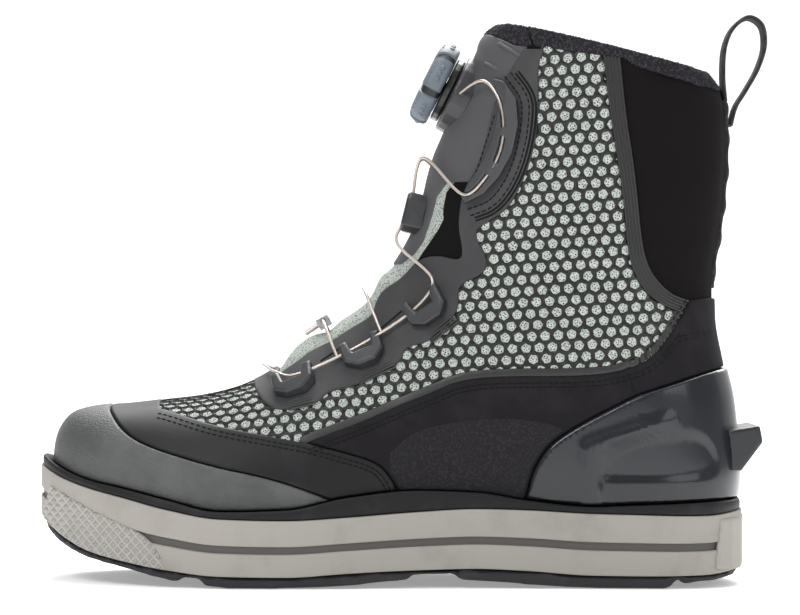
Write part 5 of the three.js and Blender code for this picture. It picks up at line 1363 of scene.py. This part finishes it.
profile = np.array(knob["profile"])
fine = np.linspace(0, len(profile) - 1, 28)
profile = np.stack([np.interp(fine, np.arange(len(profile)), profile[:, k]) for k in (0, 1)], -1)
angle = np.arange(96) / 96 * 2 * math.pi
inset = knob["coreInset"]
core = np.array([roundDial(max(r - inset, 0), angle, h - (inset * 0.6 if h > 12 else -inset * 0.2)) for r, h in profile])
addMesh("knob_core", core.reshape(-1, 3), gridFaces(len(profile), 96, True), material("knob_core", **knob["core"]),
        "dial_knob", ("dial_knob",), 40)
parts = []
half = math.pi / knob["blocks"] - math.radians(knob["gapTurn"]) / 2
for block in range(knob["blocks"]):
    middle = math.radians(knob["turn"]) + block * 2 * math.pi / knob["blocks"]
    share = np.linspace(-1, 1, 25)
    edge = 0.9 * np.clip((np.abs(share) - 0.9) / 0.1, 0, 1) ** 2
    rows = []
    for r, h in profile[:-1]:
        reach = np.sin(share * half)
        rows.append(roundDial(np.maximum(r - edge, 0.1), middle + share * half, h - edge * (h > 14)))
    parts.append((np.array(rows).reshape(-1, 3), gridFaces(len(rows), 25)))
    for dot in knob["dots"]:
        for level, wide in ((12.4, 1.0), (16.0, 0.6)):
            a = middle + math.radians(dot * (1 if level < 14 else 0.9))
            radius = 18.9 if level < 14 else 17.6
            size = knob["dotRadius"] * wide
            ring = np.arange(14) / 14 * 2 * math.pi
            rows = []
            for k in range(5):
                f = k / 4 * math.pi / 2
                out = radius - 0.15 + knob["dotHeight"] * wide * math.sin(f)
                spread = size * math.cos(f)
                rows.append(roundDial(np.full(14, out), a + np.cos(ring) * spread / radius, level + np.sin(ring) * spread))
            parts.append((np.array(rows).reshape(-1, 3), gridFaces(5, 14, True)))
points, faces = join(parts)
addMesh("knob_blocks", points, faces, material("knob_blocks", **knob["block"]), "dial_knob", (), 40)
print("hardware softened")

# Bindings: brushed pile with a ragged nap
pile = {
    "voxel": 0.7, "nap": 0.42,
    "look": {"color": (0.018, 0.017, 0.020), "roughness": 1.0, "specular": 0.15, "worn": (0.052, 0.048, 0.058),
             "wear": (900, 0.5, 0.60), "surface": [("speck", 1500, 1.0, 0.6), ("speck", 4200, 0.8, 0.2)]},
}
pileLook = material("pile", **pile["look"])
for name, node in (("collar_pile", "collar_binding"), ("tongue_pile", "tongue_binding")):
    made = softened(name, node, pile["voxel"], pileLook, 6)
    mesh = made.data
    flat = np.empty(len(mesh.vertices) * 3)
    mesh.vertices.foreach_get("co", flat)
    ways = np.empty(len(mesh.vertices) * 3)
    mesh.vertices.foreach_get("normal", ways)
    rise = random.normal(0.0002, pile["nap"] / 1000 * 0.5, len(mesh.vertices)).clip(-0.0006, 0.0006)
    mesh.vertices.foreach_set("co", flat + ways * np.repeat(rise, 3))
    mesh.update()

# Webbing: strip up the back, and the loop over the collar
webbing = {
    "wide": 18.0, "low": 0.530, "high": 0.870, "loopWide": 16.0, "loopThick": 1.8, "steps": 90,
    "loop": [
        (0.027, 0.868), (0.030, 0.915), (0.027, 0.970), (0.015, 1.003), (-0.006, 1.021), (-0.024, 1.008),
        (-0.029, 0.972), (-0.020, 0.930), (-0.003, 0.890), (0.012, 0.858), (0.019, 0.825),
    ],
    "look": {"color": (0.026, 0.026, 0.030), "roughness": 0.85, "specular": 0.25, "worn": (0.050, 0.050, 0.056),
             "wear": (260, 0.45, 0.6), "surface": [("weave", 700, 0.9, 0.3)]},
}
webLook = material("webbing", **webbing["look"])
height = upperGrid[..., 2] / bootHeight
stripField = np.maximum.reduce([
    np.abs(upperGrid[..., 1]) - webbing["wide"] / 2, (webbing["low"] - height) * bootHeight,
    (height - webbing["high"]) * bootHeight, upperGrid[..., 0] * -1 + 5,
])


def foldHeight(points, rc, value):
    # Soft folds of the strip, which give the back its wavy edge
    return 0.55 * np.sin(points[:, 2] * 0.42) * smooth(0, 2.0, -value)


points, faces = panelMesh(stripField, 0, -0.2, 1.3, 0.6, extra=foldHeight)
strip = addMesh("back_strip", points, faces, webLook, "back_webbing", ("back_webbing",), 180)
line = smoothLine([(x, 0.0, z) for x, z in sideLine(*webbing["loop"])], np.linspace(0, 1, webbing["steps"]))
way = np.gradient(line, axis=0)
way = way / np.linalg.norm(way, axis=1, keepdims=True)
out = np.stack([-way[:, 2], 0 * way[:, 0], way[:, 0]], -1)
a = np.arange(28) / 28 * 2 * math.pi
flat = np.stack([np.sign(np.cos(a)) * np.abs(np.cos(a)) ** 0.35 * webbing["loopWide"] / 2,
                 np.sign(np.sin(a)) * np.abs(np.sin(a)) ** 0.6 * webbing["loopThick"] / 2], -1)
grid = line[:, None] + np.array([0, 1.0, 0]) * flat[None, :, :1] + out[:, None] * flat[None, :, 1:]
faces = gridFaces(len(line), 28, True).tolist()
faces += [tuple(range(27, -1, -1)), tuple(range(grid.shape[0] * 28 - 28, grid.shape[0] * 28))]
loop = addMesh("loop", grid.reshape(-1, 3), faces, webLook, "pull_loop", ("pull_loop",), 50)
print("webbing sewn")

# Sole: fine bands swept round the plan
soleCount = 260


def planLoop(inset):
    # Points of the sole's plan and their places along it, once round
    s = np.arange(soleCount) / soleCount
    share = 0.5 * (1 - np.cos(math.pi * s)) * 0.8 + 0.2 * s
    end = inset / soleLength
    loops = []
    for side in (-1, 1):
        at = mix(end, 1 - end, share if side < 0 else 1 - share)
        y = centreAt(at) + side * planHalf(at, side, inset)
        loops.append(np.stack([xAt(at), y, at], -1))
    return np.concatenate(loops)


def bandMesh(levels, closeLow=False, closeHigh=False):
    # Rows of points from (inset, height) levels; a height is a function of the place along
    rows = []
    for inset, height in levels:
        loop = planLoop(inset)
        rows.append(np.stack([loop[:, 0], loop[:, 1], height(loop[:, 2])], -1))
    grid = np.array(rows)
    count, columns = grid.shape[:2]
    faces = [gridFaces(count, columns, True)]
    k = np.arange(columns // 2)
    for wanted, row in ((closeLow, 0), (closeHigh, count - 1)):
        if wanted:
            across = [row * columns + k, row * columns + k + 1, row * columns + columns - k - 1,
                      row * columns + (columns - k) % columns]
            faces.append(np.stack(across if row else across[::-1], -1))
    return grid.reshape(-1, 3), np.concatenate(faces)


def share(s):
    return lambda at: mix(baseAt(at), seatAt(at), s)


def softBand(low, high, edge, steps=5):
    # Levels between two shares, with rounded corners
    rows = []
    for i in range(steps + 1):
        a = i / steps * math.pi / 2
        rows.append((edge * (1 - math.sin(a)), lambda at, a=a: share(low)(at) + edge * (1 - math.cos(a))))
    for i in range(steps + 1):
        a = (1 - i / steps) * math.pi / 2
        rows.append((edge * (1 - math.sin(a)), lambda at, a=a: share(high)(at) - edge * (1 - math.cos(a))))
    return rows


sole = {
    "grooveLow": 0.41, "grooveHigh": 0.54, "insoleThick": 4.0,
    "foam": {"color": (0.300, 0.285, 0.262), "roughness": 0.8, "specular": 0.15, "worn": (0.255, 0.240, 0.220),
             "wear": (45, 0.45, 0.75), "surface": [("speck", 2600, 0.25, 0.08)]},
    "groove": {"color": (0.066, 0.063, 0.058), "roughness": 0.7, "surface": [("speck", 2600, 0.3, 0.08)]},
    "rim": {"color": (0.0090, 0.0090, 0.0098), "roughness": 0.55, "specular": 0.2, "worn": (0.017, 0.017, 0.019),
            "wear": (60, 0.5, 0.7), "surface": [("speck", 2600, 0.2, 0.06)]},
    "bumper": {"color": (0.36, 0.345, 0.32), "roughness": 0.75, "specular": 0.3, "worn": (0.30, 0.29, 0.27),
               "wear": (60, 0.45, 0.75), "surface": [("knurl", 105, 1.0, 1.4), ("speck", 2400, 0.25, 0.08)]},
    "plate": {"color": (0.30, 0.285, 0.26), "roughness": 0.7, "specular": 0.3, "surface": [("speck", 2400, 0.25, 0.08)]},
    "tread": {"color": (0.014, 0.014, 0.017), "roughness": 0.62, "specular": 0.4, "worn": (0.026, 0.026, 0.030),
              "wear": (120, 0.5, 0.75), "surface": [("speck", 1800, 0.4, 0.12)]},
    "cloth": {"color": (0.03, 0.03, 0.034), "roughness": 0.95, "specular": 0.2, "surface": [("weave", 900, 0.6, 0.2)]},
}
grooveLow, grooveHigh = sole["grooveLow"], sole["grooveHigh"]
points, faces = join([
    bandMesh([(3.0, share(0.0))] + softBand(0.0, grooveLow, 1.0) + [(1.6, share(grooveLow))], closeLow=True),
    bandMesh([(1.6, share(grooveHigh))] + softBand(grooveHigh, 1.0, 0.8) + [(5.0, share(1.0))], closeHigh=True),
])
addMesh("midsole_foam", points, faces, material("midsole_foam", **sole["foam"]), "midsole", ("midsole",), 60)
points, faces = bandMesh([(1.1, share(grooveLow - 0.02)), (1.1, share(grooveHigh + 0.02))])
addMesh("midsole_groove", points, faces, material("midsole_groove", **sole["groove"]), "midsole", (), 60)


def rimLevel(s):
    return lambda at: mix(seatAt(at) + gap, rimAt(at), s)


rimLevels = [(1.6, rimLevel(-0.02)), (0.9, rimLevel(0.02)), (0.7, rimLevel(0.12)), (0.7, rimLevel(0.6))]
rimLevels += [(0.8 + 0.25 * k * k / 3, lambda at, k=k: rimAt(at) - 1.2 + 0.4 * k) for k in range(4)]
rimLevels += [(3.0, lambda at: rimAt(at) + 0.1), (5.2, lambda at: rimAt(at) - 0.3), (8.4, lambda at: rimAt(at) - 1.2)]
points, faces = bandMesh(rimLevels)
addMesh("rim_rubber", points, faces, material("rim_rubber", **sole["rim"]), "rim", ("rim",), 60)


def bedLevel(rise):
    return lambda at: seatAt(at) + 0.6 + rise


bed = [(8.9, bedLevel(0)), (8.5, bedLevel(1.5)), (8.7, bedLevel(3.2)), (9.8, bedLevel(4.0)), (14.0, bedLevel(4.2))]
points, faces = bandMesh(bed, closeLow=True, closeHigh=True)
made = addMesh("footbed", points, faces, material("footbed", **sole["cloth"]), "insole", ("insole",), 60)
softened("bumper_knurled", "toe_bumper", 0.8, material("bumper_knurled", **sole["bumper"]), 3)
softened("heel_block", "heel_plate", 0.6, material("heel_block", **sole["plate"]), 3, swell=0.8)
softened("tread", "outsole", 1.6, material("tread", **sole["tread"]), 2)
print("sole swept")


# Floor and light
def stageSet():
    studio = {
        "paper": {"color": (0.93, 0.93, 0.93), "roughness": 0.95, "specular": 0.1, "glow": 0.30},
        "far": 3.0, "tall": 4.0, "bend": 1.0, "world": 0.36,
        "lamps": [
            # name, place, size, power
            ("key", (-0.9, -1.3, 1.5), 0.8, 20), ("fill", (0.9, -1.2, 0.7), 0.9, 5),
            ("top", (0.0, 0.2, 1.6), 1.2, 15), ("back", (0.5, 1.1, 0.9), 0.8, 10), ("wall", (0.0, 1.2, 1.8), 1.4, 60),
        ],
    }
    line = [(-6.0, 0.0), (studio["far"] - studio["bend"], 0.0)]
    for k in range(1, 13):
        a = k / 12 * math.pi / 2
        line.append((studio["far"] - studio["bend"] * (1 - math.sin(a)), studio["bend"] * (1 - math.cos(a))))
    line.append((studio["far"], studio["tall"]))
    points = [(x, y, z - 0.0003) for y, z in line for x in (-8.0, 8.0)]
    faces = [(2 * k, 2 * k + 1, 2 * k + 3, 2 * k + 2) for k in range(len(line) - 1)]
    mesh = bpy.data.meshes.new("backdrop")
    mesh.from_pydata(points, [], faces)
    mesh.shade_smooth()
    backdrop = bpy.data.objects.new("backdrop", mesh)
    bpy.context.scene.collection.objects.link(backdrop)
    mesh.materials.append(material("paper", **studio["paper"]))
    world = bpy.data.worlds.new("studio")
    bpy.context.scene.world = world
    world.use_nodes = True
    world.node_tree.nodes["Background"].inputs["Color"].default_value = (1, 1, 1, 1)
    world.node_tree.nodes["Background"].inputs["Strength"].default_value = studio["world"]
    for name, place, size, power in studio["lamps"]:
        lamp = bpy.data.lights.new(name, "AREA")
        lamp.size = size
        lamp.energy = power
        made = bpy.data.objects.new(name, lamp)
        bpy.context.scene.collection.objects.link(made)
        made.location = place
        aim = Vector((-0.11, 0, 0.1)) - Vector(place)
        made.rotation_euler = aim.to_track_quat("-Z", "Y").to_euler()


stageSet()
